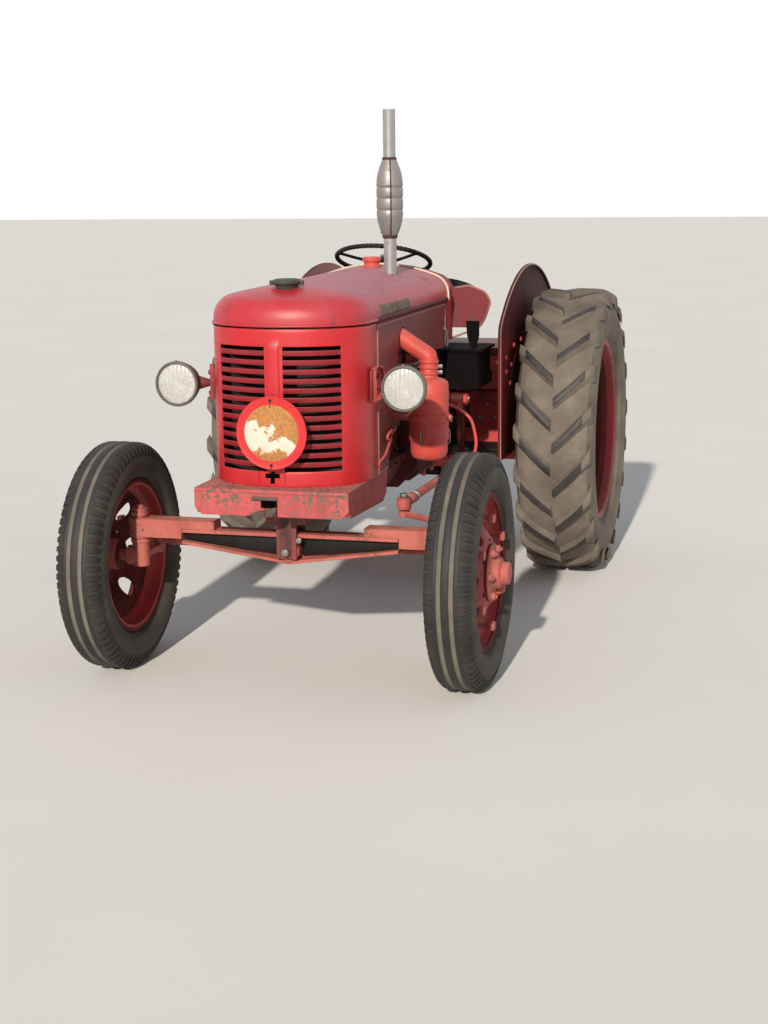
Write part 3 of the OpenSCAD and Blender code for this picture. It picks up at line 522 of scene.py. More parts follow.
RED = Enamel("nose_red_enamel", "#C41C27", "#CF6A62", "#6E4A40", fade=0.14, upward=0.35, patches=0.64,
    edges=0.2, dirtiness=0.14, roughness=0.34, dents=0.18)
# Darker red for the slats: painted shade of their downward tilt
SLAT_RED = Enamel("slat_red_enamel", "#98202C", "#A04C58", "#5A342E", fade=0.25, upward=0.1, edges=0.3,
    dirtiness=0.45, roughness=0.4, specular=0.35)
# Lavender-pink on the bonnet's upward faces: part sun bleaching, part painted reflection of the sky
BONNET_RED = Enamel("bonnet_sunbleached_enamel", "#B81F2A", "#B26C7A", "#5F3C34", fade=0.34, upward=0.85,
    edges=0.3, dirtiness=0.22, roughness=0.36, dents=0.25, bleach_and_sheen=(-1.07, -0.93))
# Body red darkened as painted shade for the side panels, which face away from the key light, and darker still lower
# down as painted shade
PANEL_RED = Enamel("panel_red_enamel", "#742428", "#84484A", "#5B3A33", dirtiness=0.55, roughness=0.42,
    dents=0.25, shade_band=(0.98, 0.68, 0.6), specular=0.35)
# Its low band darkens the bolster below the bumper's lower edge: painted shadow under the bumper
BUMPER_RED = Enamel("bumper_worn_enamel", "#C24348", "#BE766E", "#6A5A50", fade=0.35, upward=0.65,
    patches=0.66, edges=0.9, roughness=0.52, chip_scale=70, shade_band=(0.572, 0.566, 0.97),
    spots=((-0.165, 0.634, 0.07, 0.034), (0.155, 0.64, 0.1, 0.028), (0.215, 0.6, 0.03, 0.02)))
AXLE_RED = Enamel("axle_chalky_enamel", "#B0524A", "#CB8271", "#7A4E3E", fade=0.5, upward=0.45,
    patches=0.54, edges=0.9, dirtiness=0.5, roughness=0.62, dents=0.08)
CAST_RED = Enamel("casting_red_enamel", "#BC3A3A", "#C0605A", "#4A2E2A", fade=0.4, upward=0.35,
    patches=0.58, roughness=0.55)
# Casting red darkened for the engine bay and steering parts: part grease, part painted shade of the bay
ENGINE_RED = Enamel("greasy_casting_enamel", "#4A1517", "#6A302C", "#241614", fade=0.35, upward=0.2,
    patches=0.48, dirt="#140E0D", dirtiness=0.85, specular=0.2)
SALMON = Enamel("cleaner_salmon_enamel", "#CC453C", "#D2766A", "#6A3A30", upward=0.35, patches=0.62,
    edges=0.5, dirtiness=0.25, dents=0.06)
RIM_RED = Enamel("rim_red_enamel", "#A4262B", "#B9544E", "#5A3A30", upward=0.2, patches=0.55, dirtiness=0.5,
    dents=0.05)
# Dark copy of the rim red: dirt, and painted shade on the discs' inboard faces and the rims' insides
DISC_RED = Enamel("dished_disc_enamel", "#5C1E1D", "#74332C", "#2A1A16", fade=0.4, upward=0.2, patches=0.5,
    dirt="#160F0D", dirtiness=0.85, roughness=0.6, dents=0.06, specular=0.15)
RING_RED = Enamel("sign_ring_enamel", "#D01F27", "#D2584E", "#A4603A", fade=0.2, upward=0.1, edges=0.4,
    dirtiness=0.12, roughness=0.36, dents=0.03)
BLACK = Enamel("black_iron_enamel", "#100E0F", "#262223", "#3E322C", fade=0.35, patches=0.58,
    dirt="#2A2420", dirtiness=0.3, roughness=0.55, dents=0.06, specular=0.22)
# Near-black for the battery box in the shade under the scuttle: painted shade
BOX_SHADE_BLACK = Enamel("bitumen_black_enamel", "#0B090A", "#171313", "#1E1815", fade=0.2, upward=0.2, patches=0.7,
    edges=0.3, dirt="#120E0C", dirtiness=0.2, roughness=0.85, dents=0.05, specular=0.1)
# Flat black that stands in for shade: painted shade in holes, creases, notches and gaps
SHADE_BLACK = Enamel("open_hole_black", "#050404", "#080606", "#050404", fade=0.1, upward=0.6, patches=0.9,
    edges=0.0, dirtiness=0.0, roughness=0.9, dents=0.0, specular=0.0)
CAP_GREY = Enamel("cap_grey_enamel", "#3C4138", "#5A5E52", "#4A3A30", fade=0.4, upward=0.4, patches=0.56,
    roughness=0.55, dents=0.05, specular=0.3)
LAMP_GREY = Enamel("lamp_shell_enamel", "#55504A", "#7C746A", "#3A2C26", fade=0.6, patches=0.56, dents=0.04)
# Lit and shaded copies of the fender red: the face towards the tyre is darkened as painted shade, darker still towards
# its top as painted shade; the face towards the tractor keeps a lighter red
FENDER_RED = Enamel("fender_dark_enamel", "#5C181C", "#66302C", "#3A2620", upward=0.2, patches=0.54,
    dirt="#1E1311", dirtiness=0.7, roughness=0.66, dents=0.2, shade_band=(0.96, 1.03, 0.95), specular=0.15)
FENDER_INNER = Enamel("fender_inner_enamel", "#8A2026", "#93504A", "#3A2620", patches=0.54, dirtiness=0.6,
    dents=0.2)
BEAD_CREAM = Enamel("cream_piping_enamel", "#D6C7B2", "#E2D8C8", "#8A6A58", dirtiness=0.35, dents=0.02)
# Pale pink on rolled edges and beads: worn paint, and a painted highlight along the edge
BEAD_PINK = Enamel("worn_edge_enamel", "#8E5A54", "#C29A8C", "#7A4A40", fade=0.6, patches=0.55,
    dirtiness=0.3, dents=0.02)
FRONT_RUBBER = Rubber("front_rib_rubber", "#1B1B1F", "#45423F", dustiness=0.4, roughness=0.55)
WALL_RUBBER = Rubber("front_wall_rubber", "#2C2A29", "#5E5850", dustiness=0.6)
FIN_RUBBER = Rubber("shoulder_fin_rubber", "#201F20", "#4C4844", dustiness=0.5)
GROOVE_RUBBER = Rubber("groove_soil_rubber", "#5C564F", "#827A70", dustiness=0.8, scuffs=0.15)
REAR_RUBBER = Rubber("rear_carcass_rubber", "#5C534B", "#857B70", dustiness=0.85, scuffs=0.18)
LUG_RUBBER = Rubber("lug_face_rubber", "#1E1D20", "#605A56", dustiness=0.5, scuffs=0.5, roughness=0.45)
STACK_METAL = Metal("aluminium_painted_steel", "#A6A5A6", "#7E685A", rusting=0.66, metallic=0.55,
    roughness=0.36)
RUST = Metal("rusted_seam_steel", "#4A3430", "#3A2620", rusting=0.35, metallic=0.25, roughness=0.7,
    grain=0.5)
SILENCER = Metal("weathered_silencer_steel", "#949090", "#6C5A50", rusting=0.58, metallic=0.55,
    roughness=0.42)
STEEL = Metal("dull_bright_steel", "#8D8A85", "#70503C", rusting=0.52, metallic=0.85, roughness=0.4)
REFLECTOR = Metal("silvered_reflector", "#E6E5E0", "#B8A888", rusting=0.72, metallic=0.9, roughness=0.2)
BADGE = Metal("blank_badge_plate", "#74685A", "#5E4034", rusting=0.46, metallic=0.45, roughness=0.5,
    grain=0.5)
SCUFF = Metal("scraped_iron", "#5A4C44", "#4A3830", rusting=0.5, metallic=0.35, roughness=0.6, grain=0.4)
CORE = Metal("dull_core_brass", "#141210", "#1C1613", rusting=0.7, metallic=0.3, roughness=0.6)
LENS = Glass("fluted_lamp_glass")


# Mesh building

Paint = Callable[[int, int], Finish]


def circle(count: int, radius: float, first: float = 0.0) -> Iterator[tuple[float, float]]:
    """Sine and cosine coordinates of points at equal angles; first is the start as a share of one step."""
    for k in range(count):
        a = tau * (k + first) / count
        yield radius * sin(a), radius * cos(a)


class Shape:
    """Points and faces of one piece while it is put together.

    Each added form may have its own finish, and all share one mesh in the end.
    """

    def __init__(self, sign: int = 1) -> None:
        """Starts empty, and mirrors what is added if sign is -1."""
        self.points: list[Vector] = []
        self.faces: list[Face] = []
        self.finishes: list[Finish] = []
        self.slots: list[int] = []
        self.shift = Matrix.Diagonal((sign, 1, 1, 1))

    def add(self, points: Iterable[Point], faces: Iterable[Sequence[int]], finish: Finish) -> None:
        """Adds points and faces in one finish, moved by the shape's present shift."""
        if finish not in self.finishes:
            self.finishes.append(finish)
        slot, base = self.finishes.index(finish), len(self.points)
        self.points += [self.shift @ Vector(p) for p in points]
        for face in faces:
            self.faces.append(tuple(base + i for i in face))
            self.slots.append(slot)

    def grid(self, rows: Sequence[Sequence[Point]], finish: Finish, closed: bool = False,
            looped: bool = False, skip: Callable[[int, int], bool] | None = None,
            paint: Paint | None = None) -> None:
        """Joins rows of points with quads.

        Args:
            rows: rows of equal length.
            finish: the finish of the faces.
            closed: each row closes on itself.
            looped: the last row joins the first.
            skip: says which quads, by row and column, stay open.
            paint: names another finish by row and column.
        """
        n, m = len(rows), len(rows[0])
        quads: dict[Finish, list[Sequence[int]]] = {}
        for i in range(n if looped else n - 1):
            for j in range(m if closed else m - 1):
                if skip is None or not skip(i, j):
                    k, q = (i + 1) % n, (j + 1) % m
                    coat = paint(i, j) if paint else finish
                    quads.setdefault(coat, []).append((i * m + j, i * m + q, k * m + q, k * m + j))
        for coat, faces in quads.items():
            self.add([p for row in rows for p in row], faces, coat)

    def turned(self, profile: Sequence[Point], centre: Point, axis: Axis, finish: Finish, sides: int = 48,
            looped: bool = False, start: float = 0.0,
            paint: Paint | None = None) -> None:
        """Turns a profile of (radius, distance along the axis) about an axis through centre."""
        rows = []
        for radius, along in profile:
            ring = []
            for k in range(sides):
                angle = start + tau * k / sides
                ring.append(Vector(centre) + axis.place(along, radius * cos(angle), radius * sin(angle)))
            rows.append(ring)
        self.grid(rows, finish, closed=True, looped=looped, paint=paint)

    def band(self, inner: float, outer: float, low: float, high: float, centre: Point, finish: Finish,
            sides: int) -> None:
        """A flat band round an upright axis, between two radii and two heights."""
        profile = [(inner, low), (outer, low), (outer, high), (inner, high)]
        self.turned(profile, centre, Z, finish, sides, looped=True)

    def rod(self, a: Point, b: Point, radius: float, finish: Finish, sides: int = 16,
            end: float | None = None) -> None:
        """A closed round bar from a to b, tapered to the radius end if that is given."""
        self.tube([a, b], [radius, radius if end is None else end], finish, sides)

    def tube(self, path: Sequence[Point], radius: float | Sequence[float], finish: Finish,
            sides: int = 10) -> None:
        """A closed tube along a path of points, with one radius or one for each point."""
        points = [Vector(p) for p in path]
        radii = list(radius) if isinstance(radius, (list, tuple)) else [radius] * len(points)
        steps = [(points[min(i + 1, len(points) - 1)] - points[max(i - 1, 0)]).normalized()
            for i in range(len(points))]
        side = steps[0].orthogonal().normalized()
        rows = []
        for point, step, r in zip(points, steps, radii):
            side = (side - side.dot(step) * step).normalized()
            other = step.cross(side)
            rows.append([point + r * (cos(a) * side + sin(a) * other)
                for a in (tau * k / sides for k in range(sides))])
        rows = [[points[0]] * sides] + rows + [[points[-1]] * sides]
        self.grid(rows, finish, closed=True)

    def prism(self, outline: Sequence[tuple[float, float]], low: float, high: float, axis: Axis,
            finish: Finish) -> None:
        """A slab with its outline across the axis, from low to high along it."""
        n = len(outline)
        points = [axis.place(h, u, v) for h in (low, high) for u, v in outline]
        faces: list[Sequence[int]] = [range(n), range(2 * n - 1, n - 1, -1)]
        faces += [(i, i + n, (i + 1) % n + n, (i + 1) % n) for i in range(n)]
        self.add(points, faces, finish)

    def box(self, low: Point, high: Point, finish: Finish) -> None:
        """An upright box between two corners."""
        outline = [(low[0], low[1]), (high[0], low[1]), (high[0], high[1]), (low[0], high[1])]
        self.prism(outline, low[2], high[2], Z, finish)

    def nut(self, centre: Point, axis: Axis, across: float, height: float, finish: Finish,
            sides: int = 6) -> None:
        """A nut or square head: a prism with chamfered corners on its outer end."""
        r = across / 2 / cos(pi / sides)
        profile = [(0, 0), (r, 0), (r, 0.8 * height), (0.86 * r, height), (0, height)]
        self.turned(profile, centre, axis, finish, sides, start=pi / sides)

    def both_sides(self, build: Callable[[], None]) -> None:
        """Runs build once as it is and once mirrored in X."""
        build()
        kept = self.shift
        self.shift = Matrix.Diagonal((-1, 1, 1, 1)) @ kept
        build()
        self.shift = kept

    def piece(self, name: str, bevel: float = 0.0, smooth: float = 35.0, segments: int = 2,
            wall: float = 0.0) -> Object:
        """Makes the mesh object.

        Args:
            name: the piece's name.
            bevel: width of the rounding along hard edges.
            smooth: angle in degrees under which faces shade as one surface.
            segments: faces across a rounding.
            wall: thickness put on an open sheet, inwards.

        Returns:
            The finished object, at the origin with its place in its mesh.
        """
        mesh = bpy.data.meshes.new(name)
        mesh.from_pydata([tuple(p) for p in self.points], [], self.faces)
        for finish in self.finishes:
            mesh.materials.append(finish.material())
        mesh.polygons.foreach_set("material_index", self.slots)
        work = bmesh.new()
        work.from_mesh(mesh)
        bmesh.ops.remove_doubles(work, verts=work.verts, dist=WELD)
        bmesh.ops.dissolve_degenerate(work, edges=work.edges, dist=SPECK)
        bmesh.ops.recalc_face_normals(work, faces=work.faces)
        work.to_mesh(mesh)
        work.free()
        made = bpy.data.objects.new(name, mesh)
        bpy.context.scene.collection.objects.link(made)
        if wall:
            sheet = made.modifiers.new("wall", "SOLIDIFY")
            sheet.thickness, sheet.offset, sheet.use_even_offset = wall, -1.0, True
        if bevel:
            round_off = made.modifiers.new("bevel", "BEVEL")
            round_off.width, round_off.segments = bevel, segments
            round_off.limit_method, round_off.angle_limit = "ANGLE", radians(38)
            round_off.use_clamp_overlap = True
        return smoothed(baked(made), smooth)

    def fit(self, name: str, body: str, slot: str | None = None, *nodes: str, **finish: float) -> Object:
        """Makes the piece and puts it on its body; the rest goes to piece and fit."""
        return fit(self.piece(name, **finish), body, slot, *nodes)


def baked(source: Object) -> Object:
    """Replaces an object that has modifiers with its plain evaluated mesh under the same name."""
    name = source.name
    bpy.context.view_layer.update()
    mesh = bpy.data.meshes.new_from_object(source.evaluated_get(bpy.context.evaluated_depsgraph_get()))
    bpy.data.objects.remove(source)
    made = bpy.data.objects.new(name, mesh)
    made.data.name = name
    bpy.context.scene.collection.objects.link(made)
    return made


def smoothed(made: Object, angle: float) -> Object:
    """Shades faces that meet under the angle, in degrees, as one surface."""
    for polygon in made.data.polygons:
        polygon.use_smooth = True
    made.data.set_sharp_from_angle(angle=radians(angle))
    return made


def fit(piece: Object, body: str, slot: str | None = None, *nodes: str) -> Object:
    """Puts a finished piece on its body.

    Args:
        piece: the finished object.
        body: the CAD body it rides on.
        slot: the record's material slot, if one stands for its finish.
        *nodes: CAD nodes that the piece stands for.

    Returns:
        The piece.
    """
    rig.ride(piece, body)
    if slot:
        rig.slot(piece, slot)
    if nodes:
        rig.replaces(piece, *nodes)
    LOG.info("%s: %d faces on %s", piece.name, len(piece.data.polygons), body)
    return piece


class Repeat:
    """Geometry Nodes trees for what repeats round an axle or along a row, or follows a path."""

    @staticmethod
    def tree(name: str, sockets: Sequence[tuple[str, str]]) -> tuple[Tree, Node]:
        """A new tree with its named inputs and one geometry output.

        Args:
            name: the tree's name.
            sockets: name and socket type of each input.

        Returns:
            The tree and its input node.
        """
        made = bpy.data.node_groups.new(name, "GeometryNodeTree")
        for label, kind in sockets:
            made.interface.new_socket(label, in_out="INPUT", socket_type=kind)
        made.interface.new_socket("Geometry", in_out="OUTPUT", socket_type="NodeSocketGeometry")
        return made, made.nodes.new("NodeGroupInput")

    @staticmethod
    def close(tree: Tree, geometry: Socket, finish: Socket) -> None:
        """Ends a tree in Realize Instances and Set Material, which dresses the template's first finish."""
        real = add(tree, "GeometryNodeRealizeInstances", {0: geometry}).outputs[0]
        index = add(tree, "GeometryNodeInputMaterialIndex").outputs[0]
        first = add(tree, "FunctionNodeCompare", {2: index, 3: 0}, data_type="INT",
            operation="EQUAL").outputs[0]
        dressed = add(tree, "GeometryNodeSetMaterial", {"Geometry": real, "Selection": first,
            "Material": finish})
        add(tree, "NodeGroupOutput", {0: dressed.outputs[0]})

    @staticmethod
    def copies(tree: Tree, points: Socket, template: Socket, **turn: Socket) -> Socket:
        """An instance of the template on each point."""
        source = add(tree, "GeometryNodeObjectInfo", {"Object": template, "As Instance": True})
        given = {"Points": points, "Instance": source.outputs["Geometry"]}
        return add(tree, "GeometryNodeInstanceOnPoints", given | turn).outputs[0]

    @classmethod
    def ring_tree(cls) -> Tree:
        """Copies of a template turned about the X axis, then moved to the axle."""
        tree, given = cls.tree("ring_of_copies", [("Template", "NodeSocketObject"),
            ("Count", "NodeSocketInt"), ("First angle", "NodeSocketFloat"), ("Centre", "NodeSocketVector"),
            ("Finish", "NodeSocketMaterial")])
        out = given.outputs
        points = add(tree, "GeometryNodePoints", {"Count": out["Count"]})
        index = add(tree, "GeometryNodeInputIndex").outputs[0]
        share = add(tree, "ShaderNodeMath", {0: index, 1: out["Count"]}, operation="DIVIDE").outputs[0]
        angle = scaled(tree, share, tau, out["First angle"])
        turn = add(tree, "ShaderNodeCombineXYZ", {0: angle}).outputs[0]
        copies = cls.copies(tree, points.outputs[0], out["Template"], Rotation=turn)
        moved = add(tree, "GeometryNodeTransform", {"Geometry": copies, "Translation": out["Centre"]})
        cls.close(tree, moved.outputs[0], out["Finish"])
        return tree

    @classmethod
    def row_tree(cls) -> Tree:
        """Copies of a template along a straight line."""
        tree, given = cls.tree("row_of_copies", [
            ("Template", "NodeSocketObject"), ("Count", "NodeSocketInt"), ("Start", "NodeSocketVector"),
            ("Step", "NodeSocketVector"), ("Finish", "NodeSocketMaterial")])
        out = given.outputs
        line = add(tree, "GeometryNodeMeshLine", {
            "Count": out["Count"], "Start Location": out["Start"], "Offset": out["Step"]}, mode="OFFSET")
        cls.close(tree, cls.copies(tree, line.outputs[0], out["Template"]), out["Finish"])
        return tree

    @classmethod
    def sweep_tree(cls) -> Tree:
        """A round bead or pipe that follows the edges of the carrier mesh."""
        tree, given = cls.tree("pipe_on_path", [
            ("Path", "NodeSocketGeometry"), ("Radius", "NodeSocketFloat"), ("Sides", "NodeSocketInt"),
            ("Spacing", "NodeSocketFloat"), ("Finish", "NodeSocketMaterial")])
        out = given.outputs
        line = add(tree, "GeometryNodeMeshToCurve", {0: out["Path"]})
        smooth = add(tree, "GeometryNodeCurveSplineType", {0: line.outputs[0]}, spline_type="CATMULL_ROM")
        even = add(tree, "GeometryNodeResampleCurve", {0: smooth.outputs[0], "Length": out["Spacing"]},
            mode="LENGTH")
        ring = add(tree, "GeometryNodeCurvePrimitiveCircle", {"Resolution": out["Sides"],
            "Radius": out["Radius"]})
        pipe = add(tree, "GeometryNodeCurveToMesh", {
            "Curve": even.outputs[0], "Profile Curve": ring.outputs[0], "Fill Caps": True})
        cls.close(tree, pipe.outputs[0], out["Finish"])
        return tree

    @staticmethod
    def run(tree: Tree, carrier: Object, values: dict[str, object],
            template: Object | None = None, smooth: float = 35.0) -> Object:
        """Evaluates a tree on a carrier and keeps the plain mesh.

        Args:
            tree: the Geometry Nodes tree.
            carrier: the object that holds the modifier, removed afterwards.
            values: the tree's named inputs.
            template: the copied object, removed afterwards.
            smooth: angle in degrees under which faces shade as one surface.

        Returns:
            The plain mesh object under the carrier's name.
        """
        modifier = carrier.modifiers.new(tree.name, "NODES")
        modifier.node_group = tree
        for item in tree.interface.items_tree:
            if item.in_out == "INPUT" and item.name in values:
                modifier[item.identifier] = values[item.name]
        made = baked(carrier)
        if template:
            bpy.data.objects.remove(template)
        return smoothed(made, smooth)

    @classmethod
    def named(cls, name: str, make: Callable[[], Tree]) -> Tree:
        """The tree of that name, built on first use."""
        return bpy.data.node_groups.get(name) or make()

    @classmethod
    def ring(cls, name: str, shape: Shape, count: int, centre: Point, first: float = 0.0,
            bevel: float = 0.0) -> Object:
        """Copies of a shape, modelled about the axle, at equal angles round it."""
        template = shape.piece(name + "_template", bevel)
        tree = cls.named("ring_of_copies", cls.ring_tree)
        return cls.run(tree, empty_mesh(name), {
            "Template": template, "Count": count, "First angle": first, "Centre": tuple(centre),
            "Finish": shape.finishes[0].material()}, template)

    @classmethod
    def row(cls, name: str, shape: Shape, count: int, start: Point, step: Point,
            bevel: float = 0.0) -> Object:
        """Copies of a shape, modelled about the origin, along a row."""
        template = shape.piece(name + "_template", bevel)
        tree = cls.named("row_of_copies", cls.row_tree)
        return cls.run(tree, empty_mesh(name), {
            "Template": template, "Count": count, "Start": tuple(start), "Step": tuple(step),
            "Finish": shape.finishes[0].material()}, template)

    @classmethod
    def pipe(cls, name: str, path: Sequence[Point], radius: float, finish: Finish, sides: int = 12,
            spacing: float = 0.012) -> Object:
        """A round pipe, cable or bead along a smooth path."""
        carrier = empty_mesh(name)
        carrier.data.from_pydata([tuple(p) for p in path], [(i, i + 1) for i in range(len(path) - 1)], [])
        tree = cls.named("pipe_on_path", cls.sweep_tree)
        return cls.run(tree, carrier, {
            "Radius": radius, "Sides": sides, "Spacing": spacing, "Finish": finish.material()}, smooth=60.0)


def empty_mesh(name: str) -> Object:
    """A linked object with an empty mesh."""
    made = bpy.data.objects.new(name, bpy.data.meshes.new(name))
    bpy.context.scene.collection.objects.link(made)
    return made


def joined(name: str, pieces: Sequence[Object]) -> Object:
    """One mesh from several finished ones, each face keeping its finish."""
    materials: list[Material] = []
    work = bmesh.new()
    for piece in pieces:
        index = []
        for material in piece.data.materials:
            if material not in materials:
                materials.append(material)
            index.append(materials.index(material))
        before = len(work.faces)
        work.from_mesh(piece.data)
        work.faces.ensure_lookup_table()
        for face in work.faces[before:]:
            face.material_index = index[face.material_index] if index else 0
    mesh = bpy.data.meshes.new(name)
    work.to_mesh(mesh)
    work.free()
    for material in materials:
        mesh.materials.append(material)
    for piece in pieces:
        bpy.data.objects.remove(piece)
    made = bpy.data.objects.new(name, mesh)
    bpy.context.scene.collection.objects.link(made)
    return made


def fit_pipe(name: str, path: Iterable[Point], radius: float, finish: Finish, sides: int = 12,
        spacing: float = 0.012) -> None:
    """Fits a pipe on the root along a path of x, station and height."""
    fit(Repeat.pipe(name, [at(*p) for p in path], radius, finish, sides, spacing), "root")


# Bonnet, nose and sheet metal


@dataclass
class Sheetwork:
    """Nose, bonnet, piping and the blank badge plates, in metres and stations from the axle line."""

    half_width: float = 0.264
    seam_z: float = 1.162
    foot_z: float = 0.66
    front_r: float = 0.324
    corner_r: float = 0.198
    nose: float = -0.145
    shoulder_r: float = 0.075
    shoulder_angle: float = radians(76)
    side_rise: float = 0.026
    crown_z: float = 1.288
    crown_rise: float = 0.01
    crown_start: float = 0.06
    back: float = 1.132
    nose_back: float = 0.1315
    sheet: float = 0.003
    slot_rows: int = 14
    slot_pitch: float = 0.0296
    slot_h: float = 0.0125
    slot_low: float = 0.716
    slot_in: float = 0.031
    slot_out: float = 0.202
    rib: tuple[float, float] = (-0.0175, 0.0165)
    disc_z: float = 0.841
    disc_r: float = 0.1165
    face_r: float = 0.0895
    arc_x: float = 0.19
    corner_x: float = 0.2045
    rib_rise: float = 0.0055
    slat_rise: float = 0.005
    ease: float = 0.002
    scuttle: tuple[float, float] = (1.14, 1.236)

    def plan(self, inset: float, back: float, dense: int = 12) -> list[tuple[float, ...]]:
        """Half outline of the nose in plan, from the centre line to the tractor's left and back.

        Args:
            inset: distance inwards from the skin.
            back: station where the side ends.
            dense: points on each arc.

        Returns:
            Rows of x, station and the outward normal's x and y.
        """
        centre = self.nose + self.front_r
        lean = asin((self.half_width - self.corner_r) / (self.front_r - self.corner_r))
        cx = self.half_width - self.corner_r
        cy = centre - (self.front_r - self.corner_r) * cos(lean)
        rows = []
        for i in range(dense + 1):
            a = lean * i / dense
            rows.append(((self.front_r - inset) * sin(a), centre - (self.front_r - inset) * cos(a), sin(a),
                -cos(a)))
        for i in range(1, dense + 1):
            a = lean + (pi / 2 - lean) * i / dense
            rows.append((cx + (self.corner_r - inset) * sin(a), cy - (self.corner_r - inset) * cos(a),
                sin(a), -cos(a)))
        steps = max(int((back - cy) / 0.06), 1)
        rows += [(self.half_width - inset, cy + (back - cy) * k / steps, 1.0, 0.0)
            for k in range(1, steps + 1)]
        return rows

    def outline(self, inset: float, back: float, dense: int = 12) -> list[tuple[float, ...]]:
        """The whole plan from right to left."""
        half = self.plan(inset, back, dense)
        return [(-x, y, -nx, ny) for x, y, nx, ny in half[:0:-1]] + half

    def crown(self, station: float) -> float:
        """Height of the crown at a station."""
        share = (station - self.crown_start) / (self.back - self.crown_start)
        return self.crown_z + self.crown_rise * max(share, 0.0)

    def section(self, station: float, low: float, inset: float = 0.0, count: int = 7) -> list[Vector]:
        """The bonnet's arch at a station from the left foot over the crown to the right foot."""
        r, turn = self.shoulder_r - inset, self.shoulder_angle
        side, z0 = self.half_width - self.shoulder_r, self.seam_z + self.side_rise
        half = [(self.half_width - inset, low)]
        half += [(side + r * cos(turn * i / count), z0 + r * sin(turn * i / count))
            for i in range(count + 1)]
        x0, top = half[-1]
        for i in range(1, count + 1):
            t = i / count
            half.append((x0 * (1 - t), top + (self.crown(station) - inset - top) * (1 - (1 - t) ** 2)))
        arch = half + [(-x, z) for x, z in half[-2::-1]]
        return [at(x, station, z) for x, z in arch]

    def bonnet(self) -> None:
        """The bonnet skin: a shoulder that rolls inwards round the nose, then a shallow crown."""
        shape, rows = Shape(), []
        ring = self.outline(0.0, self.back)
        rows.append([at(x, y, self.seam_z) for x, y, _, _ in ring])
        z0 = self.seam_z + self.side_rise
        for i in range(9):
            a = self.shoulder_angle * i / 8
            inset = self.shoulder_r * (1 - cos(a))
            rows.append([at(x - inset * nx, y - inset * ny, z0 + self.shoulder_r * sin(a))
                for x, y, nx, ny in ring])
        edge = rows[-1]
        for i in range(1, 9):
            t, row = i / 8, []
            for p in edge:
                station = max(p.y - AXLE_LINE, self.crown_start)
                ridge = at(0, station, self.crown(station))
                row.append(Vector((p.x * (1 - t), p.y + (ridge.y - p.y) * t,
                    p.z + (ridge.z - p.z) * (1 - (1 - t) ** 2))))
            rows.append(row)
        shape.grid(rows, BONNET_RED)
        shape.fit("bonnet_skin", "root", "body_paint", "bonnet", smooth=50, wall=self.sheet)
        # The bead's upward pink tint is a painted highlight, and the thin black line under it is painted shadow
        for name, rise, radius, finish in (("bead", 0.01, 0.0046, BONNET_RED),
                ("shadow_gap", 0.0036, 0.002, SHADE_BLACK)):
            bead = [at(x + 0.001 * nx, y + 0.001 * ny, self.seam_z + rise)
                for x, y, nx, ny in self.outline(0.0, 0.128)]
            fit(Repeat.pipe(f"nose_seam_{name}", bead, radius, finish), "root", "body_paint")

    def nose_skin(self) -> None:
        """The nose: one bent sheet with pressed rows of slots and a raised centre rib."""
        limits = [-self.slot_out, -self.slot_in, self.slot_in, self.slot_out]
        low, high = self.rib
        field = self.slot_out - self.slot_in
        marks = limits + [low, low - 0.004, high, high + 0.004, low - 0.009, high + 0.009, 0.0]
        for s in (-1, 1):
            marks += [s * (self.slot_in + self.ease), s * (self.slot_out - self.ease)]
            marks += [s * (self.slot_in + field * k / 12) for k in range(13)]
        cuts = sorted({round(x, 5) for x in marks})
        ring = self.outline(0.0, self.nose_back, 14)
        centre = self.nose + self.front_r
        inner = [(x, centre - sqrt(self.front_r ** 2 - x * x), x / self.front_r,
            -sqrt(1 - (x / self.front_r) ** 2)) for x in cuts if abs(x) < self.arc_x]
        outer = [p for p in ring if abs(p[0]) >= self.corner_x]
        edge = []
        for x in cuts:
            if abs(x) >= self.arc_x:
                closest = min(self.outline(0.0, self.nose_back, 240), key=lambda p: abs(p[0] - x))
                edge.append((x,) + closest[1:])
        columns = sorted(inner + edge + [p for p in outer if p[1] < 0.0], key=lambda p: p[0])
        left = [p for p in outer if p[1] >= 0.0 and p[0] < 0]
        right = [p for p in outer if p[1] >= 0.0 and p[0] > 0]
        columns = sorted(left, key=lambda p: -p[1]) + columns + sorted(right, key=lambda p: p[1])
        # Each slat lies flush at its top edge and is pressed in at its bottom edge
        heights = {z: 0.0 for z in (self.foot_z, 0.668, 0.684, 0.7, 1.112, 1.122, 1.135, 1.15,
            self.seam_z)}
        slots = [self.slot_low + row * self.slot_pitch for row in range(self.slot_rows)]
        for z in slots:
            heights[z - self.slot_h / 2] = 0.0
            heights[z + self.slot_h / 2] = 0.0 if z == slots[-1] else self.slat_rise
            if z != slots[-1]:
                heights[z + self.slot_pitch / 2] = self.slat_rise / 2
        levels = sorted(heights)

        def raised(x: float, z: float) -> float:
            """How far the skin is pressed out at a point."""
            left, right = self.rib
            across = clamped((x - left + 0.004) / 0.004) * clamped((right + 0.004 - x) / 0.004)
            along = clamped((z - 0.7097) / 0.0125) * clamped((1.118 - z) / 0.008)
            slat = (clamped((abs(x) - self.slot_in) / self.ease)
                * clamped((self.slot_out - abs(x)) / self.ease))
            return self.rib_rise * across * along - heights[z] * slat

        rows = [[at(x + raised(x, z) * nx, y + raised(x, z) * ny, z) for x, y, nx, ny in columns]
                for z in levels]

        def slotted(j: int) -> bool:
            """Whether the column of quads lies in the slotted fields."""
            return self.slot_in < abs(columns[j][0] + columns[j + 1][0]) / 2 < self.slot_out

        def open_slot(i: int, j: int) -> bool:
            """Whether the quad lies in a slot."""
            return slotted(j) and any(abs(levels[i] + self.slot_h / 2 - z) < 1e-6 for z in slots)

